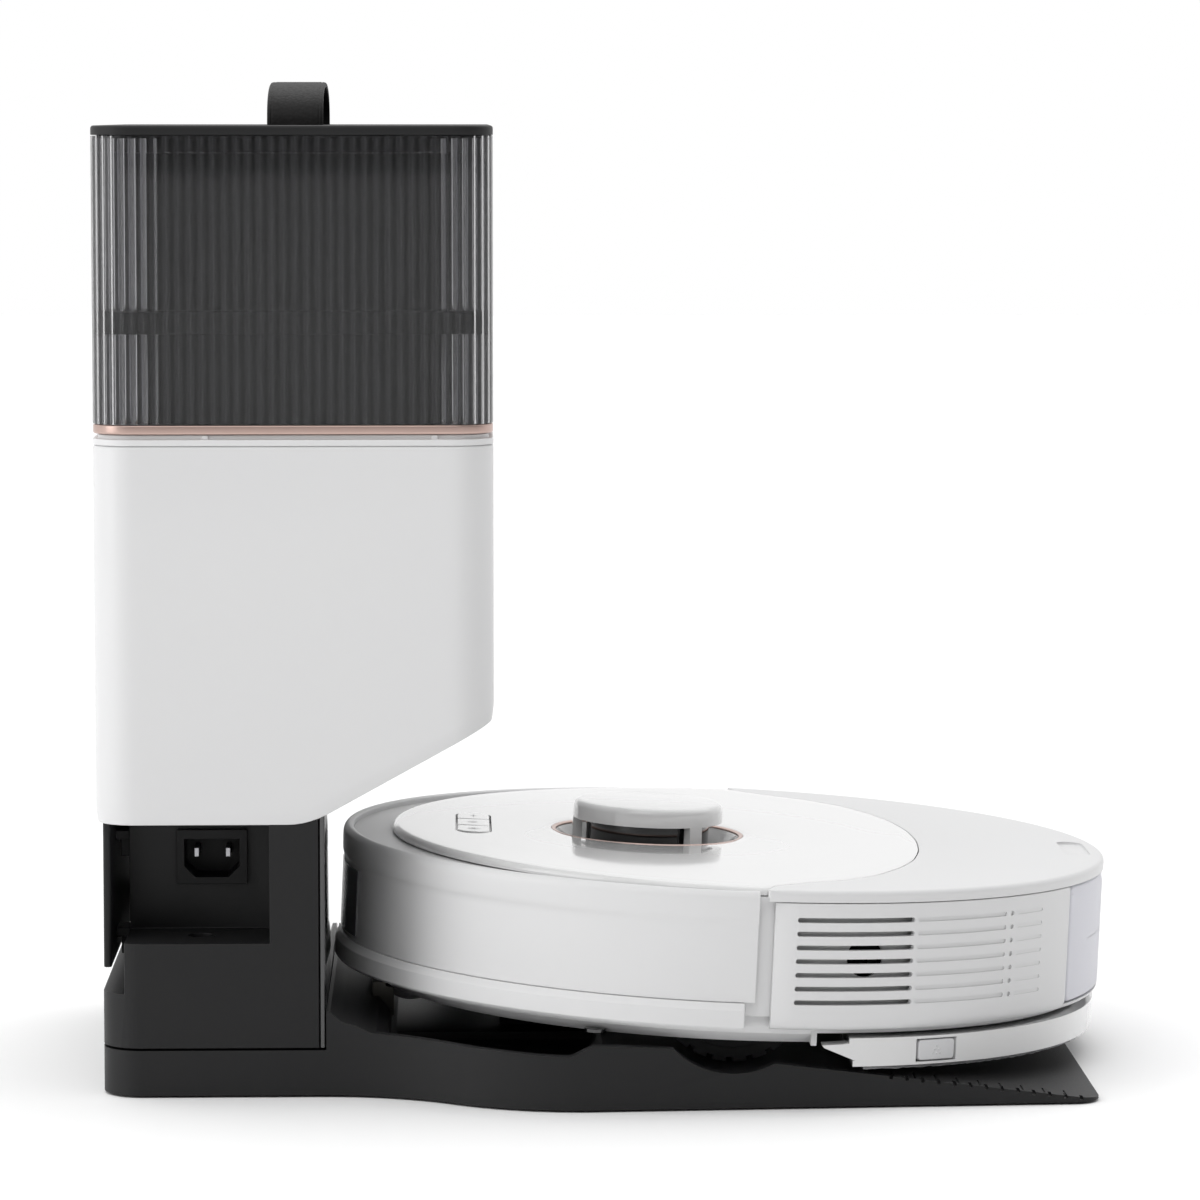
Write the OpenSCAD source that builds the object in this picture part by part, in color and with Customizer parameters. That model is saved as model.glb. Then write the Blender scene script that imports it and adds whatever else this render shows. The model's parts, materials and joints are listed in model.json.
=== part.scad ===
// Robot vacuum parked on its self-emptying dock. Millimetres, +Z up, floor at Z = 0.
// The tower stands at -X, the entry ramp falls towards +X, and Y = 0 is the plane of symmetry.
// Robot parts are drawn level in the robot's own frame (nose at -X, floor at z = 0) and set down by docked().

/* [Robot] */
// Diameter of the body
robot_d = 353; // [330:1:360]
// Height of the top deck above the robot's own floor plane
deck_z = 82; // [78:0.5:90]
// Height of the laser turret's cap above the robot's own floor plane
turret_top_z = 96.5; // [92:0.5:110]
// Ground clearance under the chassis
chassis_z = 13; // [11:0.5:14]
// General wall thickness of the robot's shells
shell_t = 2.5; // [1.8:0.1:3]
// Radius of the rose ring round the turret
ring_r = 44.4; // [42:0.2:48]
// Radius of the turret's cap
cap_r = 34.5; // [32:0.5:36]
// Distance of the turret's axis ahead of the robot's centre
turret_x = -35; // [-45:1:-30]

/* [Running gear] */
// Radius of the drive wheels
wheel_r = 35; // [32:0.5:38]
// Width of the drive wheels
wheel_w = 24; // [20:1:27]
// Distance of each drive wheel's middle from the centre line
wheel_y = 126; // [122:1:128]
// Radius of the front caster's wheel
caster_r = 14; // [12:0.5:15]
// Radius of the main rollers over their fins
roller_r = 15; // [13:0.5:15.5]
// Length of the main rollers
roller_l = 160; // [140:1:162]
// Reach of the side brush's arms
side_brush_r = 32; // [28:1:33]

/* [Bumper and rear] */
// Free travel of the front bumper
bumper_travel = 3; // [2:0.5:4]
// Number of exhaust slots on each side
vent_count = 7; // [5:1:8]
// Pitch of the exhaust slots
vent_pitch = 6; // [5:0.5:6.5]
// Half of the angle that the water tank fills at the back
tank_half_angle = 30; // [24:1:32]
// Thickness of the mop bracket's rim
mop_rim_h = 12.5; // [10:0.5:13]

/* [Dock tower] */
// Width of the tower across the robot
tower_w = 262; // [240:1:270]
// Depth of the tower along the robot
tower_d = 175.5; // [165:0.5:190]
// Height of the lid's top face above the floor
lid_top_z = 426.5; // [410:0.5:460]
// Underside of the white housing at the back
housing_z0 = 121; // [118:1:130]
// Top of the white housing, where the collar starts
housing_z1 = 287.4; // [280:0.2:300]
// Height of the smoked cover's lower edge
cover_z0 = 296.5; // [292:0.5:310]
// Radius of the tower's upright edges
tower_r = 18; // [12:1:24]
// Rise of the strap handle above the lid
strap_h = 19.5; // [15:0.5:30]

/* [Dock base] */
// Length of the base from the column's back to the ramp's tip
base_l = 438; // [420:1:450]
// Width of the base at the ramp
base_w = 340; // [330:1:346]
// Height of the base's ledge that the column stands on
ledge_z = 21; // [20:0.5:24]
// Height of the floor plane that the docked robot stands on, under its axle
wheel_seat_z = 16.7; // [16:0.1:19]
// Pitch of the docked robot, nose up
robot_tilt = 2.6; // [2:0.1:3]
// Gap between the robot's nose and the column
dock_gap = 1; // [1:0.1:4]

/* [Hidden] */
$fn = 96;

white = "#e9e9e9";
gloss_white = "#f4f4f4";
black = "#2b2b2b";
rose = "#c9aea6";
smoke = "#4a4a4a";

gap = 0.3;          // clearance between neighbouring shells
run_fit = 0.05;     // radial clearance of a shaft in its bore
through = 1;        // how far a cut runs past a face

// ---- places that follow from the driving sizes: dock ----
tower_half = tower_w / 2;
tower_x0 = -229.2;                       // back of the tower
tower_x1 = tower_x0 + tower_d;           // front of the tower
tower_cx = (tower_x0 + tower_x1) / 2;
column_half = tower_half - 1;
column_x0 = tower_x0 + 2.7;
column_x1 = column_x0 + 98.4;
column_z0 = ledge_z + 1;
column_z1 = housing_z0 + 8;
column_set_back = 10;                    // how far the column's upper back is cut in for the cord
cord_ledge_z = 46;                       // top of the ledge under the cord store
slope_x0 = tower_x0 + 94;                // where the housing's underside starts to rise
slope_angle = 28.8;
housing_t = 3;
base_x0 = column_x0;
base_x1 = base_x0 + base_l;
base_half = base_w / 2;
base_z0 = 1;
foot_h = 1;
pan_t = 1.6;
neck_x0 = column_x1 - 2;                 // start of the flare from tower to ramp
neck_x1 = neck_x0 + 116;
ramp_tip_half = base_half - 14;
rim_w = 6;                               // width of the side ridges beside the track
tray_t = 3;

// ---- places that follow from the driving sizes: robot ----
robot_r = robot_d / 2;
skirt_flare = 1;
skirt_z0 = 20.5;
skirt_z1 = 32;
robot_x = column_x1 + dock_gap + (robot_r + skirt_flare) * cos(robot_tilt) - skirt_z0 * sin(robot_tilt);
robot_z = wheel_seat_z;
wall_r = robot_r - 2;                    // outside of the bumper's inset band
bumper_x1 = 8;                           // where the bumper ends, behind the axle
seam_r = 240;                            // radius of the seam between gloss deck and matt lid
seam_x = 89;                             // the seam's rearmost point
deck_t = 3;
deck_skirt = 5;
deck_front_r = robot_r - 6.1;            // outline of the deck inside the bumper
deck_front_cx = 17.5;
deck_x1 = bumper_x1 + bumper_travel + 0.6;      // where the full-width deck starts behind the bumper
chassis_r = robot_r - 8.5;               // clears the bumper at full travel
bin_x0 = 50;
mid_x1 = 36;                             // front edge of the raised rear floor
rear_floor_z = 18.5;
board_z = 60;
roller_z = chassis_z + 6.5;
roller_x1 = -48;
roller_x0 = roller_x1 - 2 * roller_r - 2;
bay_x0 = roller_x0 - roller_r - 2;
bay_x1 = roller_x1 + roller_r + 2;
bay_half = roller_l / 2 + 3;
bay_top = roller_z + roller_r + 2;
caster_x = -142;
cup_r = caster_r + 7;
cup_z = 2 * caster_r + 5;
well_y0 = wheel_y - wheel_w / 2 - 15;    // inner wall of the wheel wells
well_y1 = wheel_y + wheel_w / 2 + 3;
well_x = wheel_r + 6;
arm_pivot_x = wheel_r + 8;
arm_pivot_z = 45;
side_brush_x = -118;
side_brush_y = 98;
blower_x = 76;
blower_y0 = -132;
blower_y1 = -90;
blower_z = 46;
blower_r = 22;
tank_r0 = 122;
bin_x1 = tank_r0 * cos(tank_half_angle) - 2;
tank_z0 = rear_floor_z + 5.5;
tank_z1 = deck_z - deck_skirt - 0.5;
mop_r = robot_r - 2;
mop_z0 = 4.8;
mop_z1 = mop_z0 + mop_rim_h;
mop_x0 = 52;
latch_angle = 59;
latch_half = 3.4;
vent_z0 = 33.2;
button_x = -115.6;
button_l = 22;
button_w = 15;

// ---- helpers ----
module block(x0, x1, y0, y1, z0, z1) {
    translate([x0, y0, z0]) cube([x1 - x0, y1 - y0, z1 - z0]);
}

// Upright block with rounded upright edges
module round_block(x0, x1, y0, y1, z0, z1, r) {
    translate([0, 0, z0]) linear_extrude(z1 - z0) {
        translate([x0 + r, y0]) square([x1 - x0 - 2 * r, y1 - y0]);
        translate([x0, y0 + r]) square([x1 - x0, y1 - y0 - 2 * r]);
        for (x = [x0 + r, x1 - r], y = [y0 + r, y1 - r]) translate([x, y]) circle(r);
    }
}

// Part of a ring round the robot's axis, from angle a0 to a1
module ring_sector(r0, r1, z0, z1, a0, a1) {
    rotate([0, 0, a0]) rotate_extrude(angle = a1 - a0) translate([r0, z0]) square([r1 - r0, z1 - z0]);
}

module disc(r, z0, z1, x = 0, y = 0) {
    translate([x, y, z0]) cylinder(r = r, h = z1 - z0);
}

// Cylinder along Y
module y_rod(r, x, z, y0, y1) {
    translate([x, y0, z]) rotate([-90, 0, 0]) cylinder(r = r, h = y1 - y0);
}

module both_sides() {
    children();
    mirror([0, 1, 0]) children();
}

// Puts a robot part, drawn level, on the dock
module docked() {
    translate([robot_x, 0, robot_z]) rotate([0, robot_tilt, 0]) children();
}

function arc(cx, cy, r, a0, a1, n = 10) =
    [for (i = [0:n]) let (a = a0 + (a1 - a0) * i / n) [cx + r * cos(a), cy + r * sin(a)]];

// ---- dock: base ----

// One side of the base's outline, from back to tip; inset shrinks it
function base_side(inset) =
    let (w0 = column_half - inset, w1 = base_half - inset, w2 = ramp_tip_half - inset,
         rc = tower_r - inset, rt = 12 - inset / 2,
         dx = neck_x1 - neck_x0, dy = w1 - w0,
         rs = (dx * dx + dy * dy) / (4 * dy), turn = asin(dx / 2 / rs),
         x0 = base_x0 + inset, x1 = base_x1 - inset)
    concat(arc(x0 + rc, w0 - rc, rc, 180, 90, 8),
           arc(neck_x0, w0 + rs, rs, -90, -90 + turn, 8),
           arc(neck_x1, w1 - rs, rs, 90 + turn, 90, 8),
           arc(x1 - rt, w2 - rt, rt, 86, 0, 8));

function mirrored(pts) = [for (i = [len(pts) - 1:-1:0]) [pts[i][0], -pts[i][1]]];

module base_outline(inset, z0, z1) {
    translate([0, 0, z0]) linear_extrude(z1 - z0)
        polygon(concat(base_side(inset), mirrored(base_side(inset))));
}

// Cuts a shape drawn in X and Z across the whole width
module across(pts, half = 300) {
    translate([0, half, 0]) rotate([90, 0, 0]) linear_extrude(2 * half) polygon(pts);
}

// Height of the track, just under the plane that the docked robot stands on
function track_z(x) = wheel_seat_z - gap - tan(robot_tilt) * (x - robot_x);

ramp_x0 = robot_x + 18.3;
ramp_z0 = wheel_seat_z + 3.6;
ramp_tip_z = 2;
function ramp_z(x) = ramp_z0 + (ramp_tip_z - ramp_z0) * (x - ramp_x0) / (base_x1 - ramp_x0);

module base_tray() color(black) difference() {
    intersection() {
        base_outline(0, base_z0, 60);
        across([[base_x0 - 1, 0], [base_x0 - 1, ledge_z], [column_x1 + gap, ledge_z],
                [column_x1 + gap, ledge_z + 17], [column_x1 + 2, ledge_z + 17],
                [column_x1 + 7.5, ledge_z + 12.5], [column_x1 + 14, ledge_z + 11],
                [column_x1 + 20, ledge_z + 8], [column_x1 + 95, ledge_z + 3.6], [column_x1 + 107, ledge_z + 3.3],
                [column_x1 + 117, ledge_z + 8.2], [robot_x - 25.8, ledge_z + 6.5],
                [robot_x + 14, ledge_z + 4], [ramp_x0, ramp_z0], [base_x1 + 1, ramp_tip_z], [base_x1 + 1, 0]]);
    }
    // wheel wells: the round dip that the side ridges show
    y_rod(37.4, robot_x + 1.1, wheel_seat_z + 36.8, -300, 300);
    // the track between the ridges
    intersection() {
        base_outline(rim_w, 0, 80);
        across([[column_x1 + 21, 80], [column_x1 + 21, ledge_z + 9.5], [column_x1 + 27, track_z(column_x1 + 27)],
                [base_x1 - 80, track_z(base_x1 - 80)], [base_x1 - 80, 80]]);
    }
    // sump under the brushes, with an island for the suction port
    intersection() {
        base_outline(rim_w, 0, 80);
        across([[column_x1 + 28, 80], [column_x1 + 28, 18], [column_x1 + 34, 12.5],
                [robot_x - 60, 12.5], [robot_x - 54, 20], [robot_x - 54, 80]]);
        union() {
            block(-200, 200, 56, 300, 0, 80);
            block(-200, 200, -300, -56, 0, 80);
            block(-200, 200, -60, 60, 16, 80);
        }
    }
    // suction port
    block(duct_port_x0, duct_port_x1, -31, 31, 0, 40);
    // hollow underside, with bosses for the pan's screws
    difference() {
        intersection() {
            base_outline(tray_t, 0, 80);
            across([[base_x0, 0], [base_x0, ledge_z - 3], [column_x1 - 2, ledge_z - 3],
                    [column_x1 + 5, ledge_z + 6], [column_x1 + 18, ledge_z + 4], [column_x1 + 26, 9.5],
                    [robot_x - 56, 9.5], [robot_x - 50, 13], [robot_x - 10, 13], [robot_x + 60, 10],
                    [robot_x + 106, 5], [robot_x + 130, 2.8], [robot_x + 130, 0]]);
        }
        for (p = base_screw_places) disc(4, base_z0 + pan_t + 0.1, 40, p[0], p[1]);
    }
    for (p = base_screw_places) disc(1.45, 0, base_z0 + pan_t + 3, p[0], p[1]);
    block(column_x1 - 4, robot_x - 58, -45, 45, 0, 14.6);
    // the riser of the air duct comes up through the ledge
    block(duct_x0 - gap, duct_riser_x1 + gap, -duct_riser_half - gap, duct_riser_half + gap, 0, 40);
    // seats for the charging contacts
    for (y = [-contact_y, contact_y])
        block(contact_x - 5 - gap, contact_x + 5 + gap, y - 4 - gap, y + 4 + gap, ledge_z - 1, 60);
    // tread grooves across the ramp
    for (i = [0:12]) let (x = ramp_x0 + 14 + i * 9.5)
        intersection() {
            base_outline(2, 0, 60);
            block(x, x + 0.8, -300, 300, ramp_z(x) - 0.6 - (x < base_x1 - 80 ? 4 : 0), 60);
            union() {
                block(-400, 400, base_half - 26, 300, 0, 60);
                block(-400, 400, -300, 26 - base_half, 0, 60);
            }
        }
}

base_screw_places = [[-205, 95], [-205, -95], [-95, 108], [-95, -108], [25, 140], [25, -140], [120, 130], [120, -130]];
foot_places = [[-208, 106], [-208, -106], [5, 150], [5, -150], [166, 130], [166, -130]];

module base_pan() color("#242424") difference() {
    intersection() {
        base_outline(tray_t + gap, base_z0, base_z0 + pan_t);
        block(base_x0, robot_x + 128, -300, 300, 0, 9);
    }
    for (p = base_screw_places) disc(1.6, 0, 9, p[0], p[1]);
    for (p = base_screw_places) disc(3.4, 0, base_z0 + 0.8, p[0], p[1]);
}

module rubber_feet() color("#1d1d1d") for (p = foot_places) disc(9, 0, foot_h, p[0], p[1]);

module base_screws() color("#8d8d90") for (p = base_screw_places) {
    difference() {
        disc(3.2, base_z0 + 0.1, base_z0 + 0.8, p[0], p[1]);
        disc(1.1, 0, base_z0 + 0.4, p[0], p[1], $fn = 6);
    }
    disc(1.4, base_z0 + 0.8, base_z0 + pan_t + 2.4, p[0], p[1]);
}

// ---- dock: column ----
recess_x0 = column_x0 + column_set_back - 1;
recess_x1 = column_x0 + 74;
recess_z0 = 68.5;
recess_depth = 46;
plate_hook_z = [64, 108];

module column_shell() color(black) difference() {
    union() {
        difference() {
            round_block(column_x0, column_x1 + 20, -column_half, column_half, column_z0, column_z1, tower_r);
            block(column_x1 - panel_t - gap, column_x1 + 30, -200, 200, 0, 200);
            // upper back set in for the cord
            block(column_x0 - 1, column_x0 + column_set_back, -200, 200, cord_ledge_z, 200);
        }
    }
    // hollow inside
    difference() {
        block(column_x0 + 14, column_x1 - panel_t - gap - 3, -column_half + 3, column_half - 3,
              column_z0 + 3, column_z1 + 1);
        block(recess_x0 - 3, recess_x1 + 3, -200, -column_half + recess_depth + 3, recess_z0 - 3, 200);
    }
    // recess for the mains inlet
    block(column_x0 - 1, recess_x1, -200, -column_half + recess_depth, recess_z0, 200);
    // opening for the inlet's body
    block(inlet_x - inlet_w / 2 + 1.5, inlet_x + inlet_w / 2 - 1.5, -column_half, -column_half + recess_depth + 10,
          inlet_z - inlet_h / 2 + 1.5, inlet_z + inlet_h / 2 - 1.5);
    // cord slot in the floor of the recess
    disc(6, recess_z0 - 8, recess_z0 + 1, inlet_x - 4, -column_half + 26);
    // openings for the air duct and its riser
    block(duct_x0 - gap, duct_riser_x1 + gap, -duct_riser_half - gap, duct_riser_half + gap, 0, 60);
}

panel_t = 2.5;
module front_panel() color("#2f2f31")
    round_block(column_x1 - panel_t, column_x1, -column_half, column_half, column_z0, column_z1, 1.2);

inlet_w = 31.5;
inlet_h = 24.5;
inlet_x = -179.5;
inlet_z = 101;
inlet_y = -column_half + recess_depth;

function inlet_face(w, h, c) = [[-w / 2, h / 2], [w / 2, h / 2], [w / 2, -h / 2 + c], [w / 2 - c, -h / 2],
                                [-w / 2 + c, -h / 2], [-w / 2, -h / 2 + c]];

module inlet_socket() color("#1f1f1f") translate([inlet_x, inlet_y, inlet_z]) rotate([90, 0, 0]) difference() {
    union() {
        translate([-inlet_w / 2, -inlet_h / 2, 0]) cube([inlet_w, inlet_h, 3]);
        translate([-inlet_w / 2 + 2, -inlet_h / 2 + 2, -20]) cube([inlet_w - 4, inlet_h - 4, 20]);
    }
    translate([0, -0.5, -16]) linear_extrude(30) polygon(inlet_face(24.5, 17, 5));
    for (x = [-7, 7]) translate([x - 1.1, -0.5, -21]) cube([2.2, 4.2, 8]);
}

module inlet_pins() color("silver") for (x = [-7, 7])
    translate([inlet_x + x - 1, inlet_y + 1, inlet_z - 0.4]) cube([2, 21, 4]);

module cord_plate() color(black) {
    round_block(column_x0 + 0.2, column_x0 + 3.7, -column_half + 16, column_half - 16, 55.7, column_z1 - 7.5, 1.5);
    for (z = plate_hook_z, y = [-70, 70]) {
        block(column_x0 + 3.7, column_x0 + column_set_back, y - 9, y + 9, z, z + 4);
        block(column_x0 + 5.7, column_x0 + column_set_back, y - 6, y + 6, z - 8, z);
    }
}

// ---- dock: tower ----

// The housing's side view: flat bottom, then a slope that clears the robot's nose; e insets it
function housing_side(e) =
    let (x0 = tower_x0 + e, x1 = tower_x1 - e, z0 = housing_z0 + e * 0.9,
         xs = slope_x0 + e * 0.25, rb = 30,
         t = tan(slope_angle), zs = z0 + (x1 - xs) * t, half = slope_angle / 2, lead = rb * tan(half))
    concat([[x0, housing_z1], [x0, z0 + 4], [x0 + 4, z0]],
           arc(xs - lead, z0 + rb, rb, -90, -90 + slope_angle, 6),
           [[x1 - 7, zs - 7 * t], [x1 - 1.6, zs - 1], [x1, zs + 7], [x1, housing_z1]]);

module side_slab(e, half) {
    translate([0, half, 0]) rotate([90, 0, 0]) linear_extrude(2 * half) polygon(housing_side(e));
}

module tower_housing() color(white) difference() {
    intersection() {
        union() {
            side_slab(5, tower_half);
            side_slab(2.2, tower_half - 1.3);
            side_slab(0.6, tower_half - 3.4);
            side_slab(0, tower_half - 6);
        }
        round_block(tower_x0, tower_x1, -tower_half, tower_half, 0, housing_z1, tower_r);
    }
    intersection() {
        side_slab(5 + housing_t, tower_half - housing_t);
        round_block(tower_x0 + housing_t, tower_x1 - housing_t, -tower_half + housing_t, tower_half - housing_t,
                    housing_z0 + 8, housing_z1 + 1, tower_r - housing_t);
    }
    block(tower_x0 + 20, tower_x1 - 20, -tower_half + 20, tower_half - 20, housing_z1 - 30, housing_z1 + 5);
    // the column's top passes up into the housing
    round_block(column_x0 - gap + column_set_back, column_x1 + gap, -column_half - gap, column_half + gap,
                housing_z0 - 5, column_z1 + gap, 1);
    block(column_x0 - gap, column_x0 + column_set_back + 2, -column_half + 15, column_half - 15,
          housing_z0 - 5, column_z1 + gap);
}

collar_z1 = housing_z1 + 2.8;
neck_inset = 2.2;
module tower_collar() color(white) difference() {
    union() {
        round_block(tower_x0, tower_x1, -tower_half, tower_half, housing_z1, collar_z1, tower_r);
        round_block(tower_x0 + neck_inset, tower_x1 - neck_inset, -tower_half + neck_inset, tower_half - neck_inset,
                    collar_z1, band_z0 - gap, tower_r - neck_inset);
        for (x = [-38, 62], s = [-1, 1])
            block(tower_cx + x - 1.5, tower_cx + x + 1.5, s * (tower_half - neck_inset) - 0.9,
                  s * (tower_half - neck_inset) + 0.9, collar_z1, band_z0 - gap);
    }
    block(tower_x0 + 21.5, tower_x1 - 18.5, -tower_half + 24, tower_half - 24, 0, 400);
}

// ---- dock: parts inside the tower ----
bay_wall = 2;
bag_bay_x0 = tower_x0 + 22;
bag_bay_x1 = tower_x1 - 19;
bag_bay_half = tower_half - 25;
bag_bay_top = lid_top_z - 12;
bay_floor_z = housing_z1 - 4;
bay_flange_z = 336;

module bag_bay() color("#262626") difference() {
    union() {
        round_block(bag_bay_x0, bag_bay_x1, -bag_bay_half, bag_bay_half, bay_floor_z, bag_bay_top, 10);
        round_block(tower_x0 + cover_t + 1, tower_x1 - cover_t - 1, -tower_half + cover_t + 1,
                    tower_half - cover_t - 1, bay_flange_z, bay_flange_z + 10, tower_r - cover_t - 1);
        // feet of the bay on the collar
        block(bag_bay_x0 - 8, bag_bay_x1 + 8, -60, 60, band_z0 - gap, band_z0 + 2);
    }
    round_block(bag_bay_x0 + bay_wall, bag_bay_x1 - bay_wall, -bag_bay_half + bay_wall, bag_bay_half - bay_wall,
                bay_floor_z + bay_wall, bag_bay_top + 1, 8);
    block(duct_x0 - gap, duct_riser_x1 + gap, -duct_riser_half - gap, duct_riser_half + gap, 200, bay_floor_z + 5);
    // thin the flange to a frame
    for (s = [-1, 1])
        block(tower_x0 + 30, tower_x1 - 30, s * (bag_bay_half + 12) - 5, s * (bag_bay_half + 12) + 5, 330, 350);
    // grating that the suction motor draws through
    for (i = [0:5]) block(motor_x - 30 + i * 10, motor_x - 26 + i * 10, motor_y - 25, motor_y + 25, 200,
                          bay_floor_z + 5);
}

bag_w = 92;
module dust_bag() color("#cfcac2")
    round_block(bag_bay_x0 + 8, bag_bay_x1 - 8, -bag_w, bag_w, bay_floor_z + bay_wall + 4, bag_bay_top - 16, 16);

motor_x = tower_cx;
motor_y = 74;
motor_r = 40;
motor_z0 = 165;
motor_z1 = bay_floor_z - 12;
module motor_housing() color("#3c3c3e") difference() {
    union() {
        disc(motor_r, motor_z0, motor_z1, motor_x, motor_y);
        disc(motor_r + 5, motor_z1 - 6, motor_z1, motor_x, motor_y);
        disc(12, motor_z0 - 8, motor_z0, motor_x, motor_y);
        block(motor_x - 52, motor_x + 52, motor_y - 8, motor_y + 8, motor_z0 - 10, motor_z0 - 6);
    }
    disc(motor_r - 3, motor_z1 - 32, motor_z1 - 3, motor_x, motor_y);
    disc(18, motor_z1 - 5, motor_z1 + 1, motor_x, motor_y);
    disc(3 + run_fit, motor_z1 - 60, motor_z1 - 20, motor_x, motor_y);
    for (a = [0:45:315]) translate([motor_x, motor_y, motor_z1 - 28]) rotate([0, 0, a])
        translate([motor_r - 6, -6, 0]) cube([12, 12, 10]);
}

module motor_impeller() color("silver") {
    z = motor_z1 - 28;
    difference() {
        union() {
            disc(motor_r - 5, z, z + 2, motor_x, motor_y);
            disc(8, z, z + 16, motor_x, motor_y);
            disc(3, z - 28, z, motor_x, motor_y);
            for (a = [0:40:320]) translate([motor_x, motor_y, z + 1.5]) rotate([0, 0, a])
                translate([7, -0.8, 0]) rotate([0, 0, 25]) cube([26, 1.6, 13]);
        }
    }
}

module exhaust_filter() color("#dfe3e6") difference() {
    block(tower_cx - 50, tower_cx + 40, -112, -36, 176, 204);
    for (i = [0:11]) block(tower_cx - 46 + i * 7, tower_cx - 43 + i * 7, -108, -40, 180, 205);
}

// Air duct: flat run under the sump, then a riser through column and housing to the bag
duct_x0 = column_x0 + 54;
duct_riser_x1 = duct_x0 + 30;
duct_riser_half = 24;
duct_half = 42;
duct_t = 1.2;
duct_z0 = 3;
duct_z1 = 14.4;
duct_port_x0 = robot_x - 96;
duct_port_x1 = robot_x - 66;
module air_duct() color("#333335") difference() {
    union() {
        block(duct_x0, duct_port_x1 + 5, -duct_half, duct_half, duct_z0, duct_z1);
        block(duct_x0, duct_riser_x1, -duct_riser_half, duct_riser_half, duct_z0, bay_floor_z + 4);
    }
    block(duct_x0 + duct_t, duct_port_x1 + 5 - duct_t, -duct_half + duct_t, duct_half - duct_t,
          duct_z0 + duct_t, duct_z1 - duct_t);
    block(duct_x0 + duct_t, duct_riser_x1 - duct_t, -duct_riser_half + duct_t, duct_riser_half - duct_t,
          duct_z0 + duct_t, bay_floor_z + 5);
    block(duct_port_x0, duct_port_x1, -31, 31, duct_z1 - 5, duct_z1 + 1);
}

module duct_seal() color("#1a1a1a") difference() {
    block(duct_port_x0 - 4, duct_port_x1 + 4, -35, 35, 16, 19);
    block(duct_port_x0, duct_port_x1, -31, 31, 15, 20);
}

contact_x = column_x1 + 24;
contact_y = 30;
contact_top = robot_z + chassis_z - 0.6 + (robot_x - contact_x - 5) * tan(robot_tilt);
module charge_contacts() color("#c8b070") for (y = [-contact_y, contact_y])
    block(contact_x - 5, contact_x + 5, y - 4, y + 4, ledge_z - 1, contact_top);

// ---- dock: lift-off cover ----
cover_t = 2.2;
band_z0 = cover_z0 - 4.1;
lid_h = 4.4;

module cover_shell() color(smoke, 0.55) difference() {
    round_block(tower_x0, tower_x1, -tower_half, tower_half, cover_z0, lid_top_z - lid_h, tower_r);
    round_block(tower_x0 + cover_t, tower_x1 - cover_t, -tower_half + cover_t, tower_half - cover_t,
                cover_z0 - 1, lid_top_z, tower_r - cover_t);
}

module cover_band() color(rose) difference() {
    round_block(tower_x0 + 0.3, tower_x1 - 0.3, -tower_half + 0.3, tower_half - 0.3, band_z0, cover_z0, tower_r - 0.3);
    round_block(tower_x0 + cover_t + 0.5, tower_x1 - cover_t - 0.5, -tower_half + cover_t + 0.5,
                tower_half - cover_t - 0.5, 0, 400, tower_r - cover_t - 0.5);
}

strap_half = 65;
strap_w = 25;
strap_t = 2.6;
module cover_lid() color(black) difference() {
    union() {
        round_block(tower_x0, tower_x1, -tower_half, tower_half, lid_top_z - lid_h, lid_top_z, tower_r);
        difference() {
            round_block(tower_x0 + cover_t + 0.2, tower_x1 - cover_t - 0.2, -tower_half + cover_t + 0.2,
                        tower_half - cover_t - 0.2, lid_top_z - 10, lid_top_z - lid_h, tower_r - cover_t - 0.2);
            round_block(tower_x0 + cover_t + 2.2, tower_x1 - cover_t - 2.2, -tower_half + cover_t + 2.2,
                        tower_half - cover_t - 2.2, lid_top_z - 11, lid_top_z - lid_h, tower_r - cover_t - 2.2);
        }
    }
    for (s = [-1, 1]) block(tower_cx - strap_w / 2 - 0.5, tower_cx + strap_w / 2 + 0.5,
                            s * strap_half - strap_t - 0.6, s * strap_half + strap_t, lid_top_z - 3, lid_top_z + 1);
}

// The strap: a flat band bent into a low arch across the lid, with its ends let into the lid
function strap_arch(off) =
    let (rise = strap_h + 2.9 - off, half = strap_half - off, n = 24)
    [for (i = [0:n]) let (a = 180 * i / n) [-half * cos(a), lid_top_z - 2.9 + rise * pow(sin(a), 0.55)]];
module strap_handle() color("#262626")
    translate([tower_cx - strap_w / 2, 0, 0]) rotate([90, 0, 90]) linear_extrude(strap_w)
        polygon(concat(strap_arch(0), [for (i = [24:-1:0]) strap_arch(strap_t)[i]]));

// ---- robot: chassis ----

module roller_bay_walls() {
    block(bay_x0 - 2, bay_x1 + 2, -bay_half - 3, bay_half + 3, chassis_z, bay_top + 2);
}

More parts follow.
